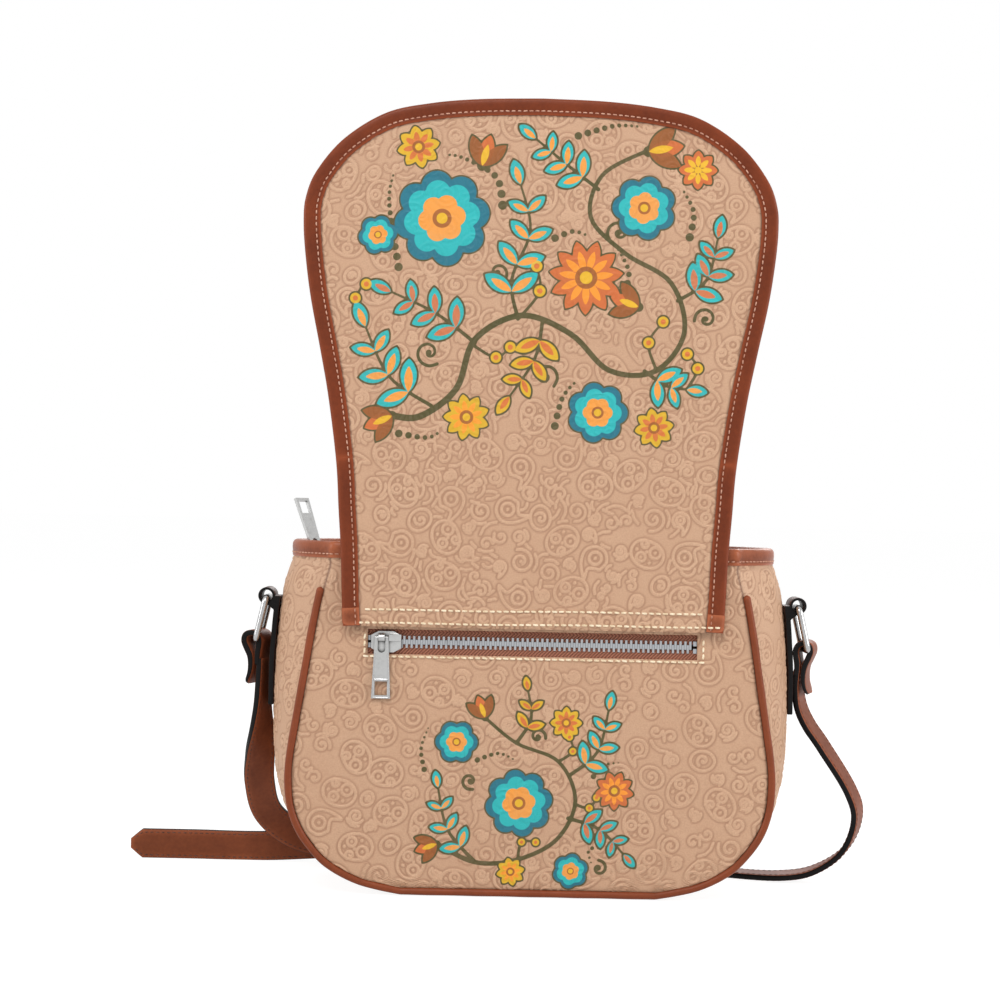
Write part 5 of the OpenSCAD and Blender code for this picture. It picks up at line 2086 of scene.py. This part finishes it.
@dataclass
class Strap:
    """The two straps of the shoulder strap, flat leather with stitched edges. Sizes in millimetres."""

    side_x: float = 157.0
    back_y: float = 62.0
    turn_h: float = 120.0
    width: float = 18.0
    thick: float = 3.4
    level_z: float = 13.7
    low_z: float = 9.0
    long_y: float = 67.4
    bar_x: float = -30.0
    tail_x: float = -244.0
    tip_w: float = 3.0
    tip_slope: float = 0.86
    seam_in: float = 2.0
    hole_r: float = 2.0
    hole_x: tuple[float, ...] = (-49.5, -25.5, -1.5, 22.5)
    swing_from: float = 135.0
    swing_to: float = 88.0

    # The middle of the fold, from its loose end up over the ring's bar and down again
    fold_points = (
        (164.0, 115.6), (162.6, 118.6), (161.4, 123.0), (161.2, 128.0), (161.9, 132.5), (163.7, 136.5),
        (165.2, 140.5), (164.5, 144.0), (161.6, 145.4), (158.4, 144.7), (156.5, 141.4), (156.7, 137.8),
        (157.3, 134.2), (157.4, 130.8), (157.2, 127.0),
    )
    # Height against how far a fold leans over its width, and height against half of its thickness
    fold_leans = ((117, 132, 146), (0.34, 0.28, 0.3))
    fold_halves = ((117, 124, 133, 146), (0.9, 1.35, 1.75, 1.65))

    def run(self, name: str, points: np.ndarray, wides: np.ndarray, halves: np.ndarray) -> None:
        """Builds one strap along its route, with a row of stitches near each edge of both faces.

        Args:
            name: the first words of the piece's name.
            points: the middle of the strap along its route.
            wides: the direction across the strap at each point.
            halves: half of the strap's width at each point.
        """
        way = directions(points)
        wide = wides - way * (wides * way).sum(axis=1, keepdims=True)
        wide /= np.linalg.norm(wide, axis=1, keepdims=True)
        face = np.cross(way, wide)
        rings = (
            points[:, None, :]
            + wide[:, None, :] * (halves[:, None] * BAND_SHARES[None, :, 0])[..., None]
            + face[:, None, :] * (self.thick / 2 * BAND_SHARES[:, 1])[None, :, None]
        )
        rings[..., 2] = np.maximum(rings[..., 2], 0.0)
        obj = sweep(f"{name}_leather", rings * MM, edge=BAND_EDGE)
        if name == "long_strap":
            for x in self.hole_x:
                self.punch(obj, x)
        report(smooth(obj, 50), Finish.STRAP, None, name)
        self.hung(obj)
        keep = halves > 4
        for tag, edge, side in (("a", -1, -1), ("b", 1, -1), ("c", -1, 1), ("d", 1, 1)):
            seam = points + wide * (edge * (halves - self.seam_in))[:, None]
            seam = seam + face * side * self.thick / 2 * 0.96
            row = f"{name}_leather_stitches_{tag}"
            self.hung(stitches(row, seam[keep], (face * side)[keep], STRAP_ROW, None))

    def punch(self, obj: Obj, x: float) -> None:
        """Punches a hole through the level stretch.

        Args:
            obj: the strap.
            x: where along it the hole lies.
        """
        bpy.ops.object.select_all(action="DESELECT")
        bpy.ops.mesh.primitive_cylinder_add(vertices=20, radius=self.hole_r * MM, depth=12 * MM,
                                            location=(x * MM, self.long_y * MM, self.level_z * MM),
                                            rotation=(math.radians(90), 0, 0))
        cutter = bpy.context.object
        apply_modifier(obj, "BOOLEAN", object=cutter, operation="DIFFERENCE", solver="EXACT")
        bpy.data.objects.remove(cutter)

    def hung(self, obj: Obj) -> None:
        """Bakes a piece's place into its mesh."""
        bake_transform(obj)

    def build(self) -> None:
        """Builds the short strap at the left and the long strap at the right.

        Each row of a route is a place and the direction across the strap there, the place in shares of
        side_x, back_y and turn_h.
        """
        level, low = self.level_z / self.turn_h, self.low_z / self.turn_h
        far = self.long_y / self.back_y
        short = (
            (-1, 0, 1.085, 0.22, 1, 0), (-1, 0, 1, 0.25, 1, 0), (-1.002, 0.02, 0.87, 0.35, 1, 0),
            (-1.008, 0.1, 0.74, 0.6, 0.85, 0), (-1.018, 0.26, 0.6, 0.9, 0.5, 0),
            (-1.025, 0.44, 0.45, 1, 0.1, 0.05), (-1, 0.68, 0.28, 0.9, 0, 0.4),
            (-0.9, 0.88, 0.155, 0.5, 0, 0.85), (-0.77, 0.98, 0.11, 0.1, 0, 1), (-0.6, 1, level, 0, 0, 1),
            (-0.4, 1, level, 0, 0, 1), (self.bar_x / self.side_x - 0.012, 1, level, 0, 0, 1),
        )
        long = (
            (1, 0, 1.085, 0.25, 1, 0), (1, 0, 1, 0.35, 1, 0), (1.012, 0.01, 0.9, 0.45, 1, 0),
            (1.045, 0.02, 0.81, 0.5, 1, 0), (1.105, 0.05, 0.7, 0.5, 1, 0), (1.21, 0.13, 0.49, 0.45, 1, 0),
            (1.246, 0.23, 0.34, 0.4, 1, 0), (1.205, 0.32, 0.175, 0.3, 1, 0), (1.1, 0.42, 0.065, 0.15, 1, 0),
            (0.98, 0.52, 0.024, 0, 1, 0), (0.81, 0.68, 0.0165, 0, 1, 0), (0.67, 0.86, 0.027, 0, 1, 0.04),
            (0.55, 0.98, 0.088, 0, 0.75, 0.66), (0.43, 1.04, 0.108, 0, 0.25, 1),
            (0.32, far, level, 0, 0, 1), (0.1, far, level, 0, 0, 1), (-0.2, far, level, 0, 0, 1),
            (-0.5, far, level, 0, 0, 1), (-1, far, low, 0, 0, 1), (-1.3, far, low, 0, 0, 1),
            (self.tail_x / self.side_x, far, low, 0, 0, 1),
        )
        for name, table in (("short_strap", short), ("long_strap", long)):
            scale = [self.side_x, self.back_y, self.turn_h, 1, 1, 1]
            route = smooth_curve(np.array(table) * scale, 10)
            points = evenly(route, int(lengths_along(route[:, :3])[-1] / 2.4))
            halves = np.full(len(points), self.width / 2)
            if name == "long_strap":
                tapered = self.tip_w + (points[:, 0] - self.tail_x) * self.tip_slope
                halves = np.where(points[:, 2] < 20, np.minimum(halves, tapered), halves)
            self.run(name, points[:, :3], points[:, 3:], halves)
        self.fold(-1, "left")
        self.fold(1, "right")

    def fold(self, side: int, name: str) -> None:
        """Builds the end of the strap that goes round the ring's lower bar and lies back on the strap.

        Args:
            side: -1 for the left end, 1 for the right one.
            name: the side's name.
        """
        path = evenly(smooth_curve(self.fold_points, 5), 70)
        normal = beside(directions(path))
        lean = np.interp(path[:, 1], *self.fold_leans)[:, None]
        tip = np.clip(lengths_along(path) / 3.0, 0, 1)[:, None]
        y = self.width / 2 * (0.55 + 0.45 * np.sqrt(tip)) * BAND_SHARES[None, :, 0]
        thick = np.interp(path[:, 1], *self.fold_halves)[:, None]
        off = thick * (0.75 + 0.25 * tip) * BAND_SHARES[None, :, 1]
        x, z = set_off(path, normal, off)
        obj = sweep(f"strap_fold_{name}", in_metres(side * x + lean * y, y, z), edge=BAND_EDGE)
        report(smooth(obj, 50), Finish.STRAP, None, f"strap_end_{name}")
        self.hung(obj)


# Lining


@dataclass
class Inside:
    """What lies inside the bag: its lining, the pocket's pouch, the strips of the mouth and the board."""

    cloth_round: float = 0.2
    strip_round: float = 0.4

    def build(self) -> None:
        """Rounds and dresses each piece of cloth and the board.
        """
        for node in ("lining_back", "lining_front", "lining_gusset", "pocket_pouch"):
            report(softened(node, f"{node}_cloth", self.cloth_round, 1), Finish.LINING, "root")
        for side in ("back", "front"):
            strip = softened(f"top_strip_{side}", f"mouth_strip_{side}", self.strip_round)
            report(strip, Finish.PIPING, "root")
        dress_nodes(Finish.BOARD, "base_board")


# Studio


class Lamp(NamedTuple):
    """A square soft lamp: its name, place, width, power in watts and the point that it faces."""

    name: str
    place: Place
    size: float
    watts: float
    aim: Place


@dataclass
class Studio:
    """The pale floor, the lamps and the camera."""

    camera_x: float = -20.1
    camera_y: float = -1243.0
    camera_z: float = 225.6
    roll: float = -1.15
    lens: float = 76.2
    film: float = 36.0
    surround: float = 0.4

    lamps = (
        Lamp("key", (-0.35, -1.45, 1.75), 0.9, 21, (0.02, 0, 0.24)),
        Lamp("left", (-1.8, -0.7, 0.8), 0.9, 13, (0, 0, 0.2)),
        Lamp("right", (1.8, -0.7, 0.7), 0.9, 19, (0, 0, 0.2)),
        Lamp("back", (0.5, 1.5, 1.3), 1.4, 20, (0, 0, 0.2)),
    )

    def build(self) -> None:
        """Sets up the whole studio.
        """
        self.camera()
        self.floor()
        self.world()
        for lamp in self.lamps:
            self.light(lamp)
        bpy.context.scene.view_settings.view_transform = "Standard"

    def camera(self) -> None:
        """Adds the camera at the place of the photograph's."""
        data = bpy.data.cameras.new("camera")
        data.lens = self.lens
        data.sensor_width = self.film
        data.dof.use_dof = False
        camera = bpy.data.objects.new("camera", data)
        camera.location = (self.camera_x * MM, self.camera_y * MM, self.camera_z * MM)
        camera.rotation_euler = (math.radians(90), math.radians(self.roll), 0)
        bpy.context.scene.collection.objects.link(camera)
        bpy.context.scene.camera = camera

    @staticmethod
    def light(lamp: Lamp) -> None:
        """Adds a lamp.

        Args:
            lamp: its name, place, size, strength and aim.
        """
        data = bpy.data.lights.new(lamp.name, "AREA")
        data.shape = "SQUARE"
        data.size = lamp.size
        data.energy = lamp.watts
        obj = bpy.data.objects.new(lamp.name, data)
        obj.location = lamp.place
        obj.rotation_euler = (Vector(lamp.aim) - Vector(lamp.place)).to_track_quat("-Z", "Y").to_euler()
        bpy.context.scene.collection.objects.link(obj)

    def floor(self) -> None:
        """Adds a white floor that shows a soft shadow."""
        bpy.ops.object.select_all(action="DESELECT")
        bpy.ops.mesh.primitive_plane_add(size=40)
        floor = bpy.context.object
        floor.name = "floor"
        material = bpy.data.materials.new("floor")
        material.use_nodes = True
        tree = material.node_tree
        tree.nodes.remove(tree.nodes["Principled BSDF"])
        nodes = Nodes(tree)
        seen = self.seen(nodes)
        lit = nodes.add("BsdfDiffuse", {"Color": (0.24, 0.24, 0.24, 1)})
        glow = nodes.add("Emission", {"Color": (1, 1, 1, 1), "Strength": 0.9})
        shown = nodes.add("AddShader", {0: lit.outputs[0], 1: glow.outputs[0]})
        plain = nodes.add("BsdfDiffuse", {"Color": (0.8, 0.8, 0.8, 1)})
        mixed = nodes.add("MixShader", {0: seen, 1: plain.outputs[0], 2: shown.outputs[0]})
        nodes.feed(tree.nodes["Material Output"], {"Surface": mixed.outputs[0]})
        floor.data.materials.append(material)

    @staticmethod
    def seen(nodes: Nodes) -> Socket:
        """Gives 1 for rays that the camera, a reflection or a clear piece sees, and 0 for light.

        Args:
            nodes: the world's nodes.

        Returns:
            The socket that carries it.
        """
        path = nodes.add("LightPath").outputs
        either = nodes.math("MAXIMUM", path["Is Camera Ray"], path["Is Glossy Ray"])
        return nodes.math("MAXIMUM", either, path["Is Transmission Ray"])

    def world(self) -> None:
        """Lights the scene evenly from a white surround."""
        world = bpy.data.worlds.new("surround")
        bpy.context.scene.world = world
        world.use_nodes = True
        nodes = Nodes(world.node_tree)
        strength = nodes.spread(self.seen(nodes), 0, 1, self.surround, 1.0)
        nodes.feed(world.node_tree.nodes["Background"], {"Color": (1, 1, 1, 1), "Strength": strength})


def main() -> None:
    """Builds the studio and every part of the bag, in order."""
    logging.basicConfig(level=logging.INFO, format="%(message)s")
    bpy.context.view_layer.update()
    for part in (Studio(), Body(), Flap(), Zips(), Hardware(), Strap(), Inside()):
        part.build()


if __name__ == "__main__":
    main()
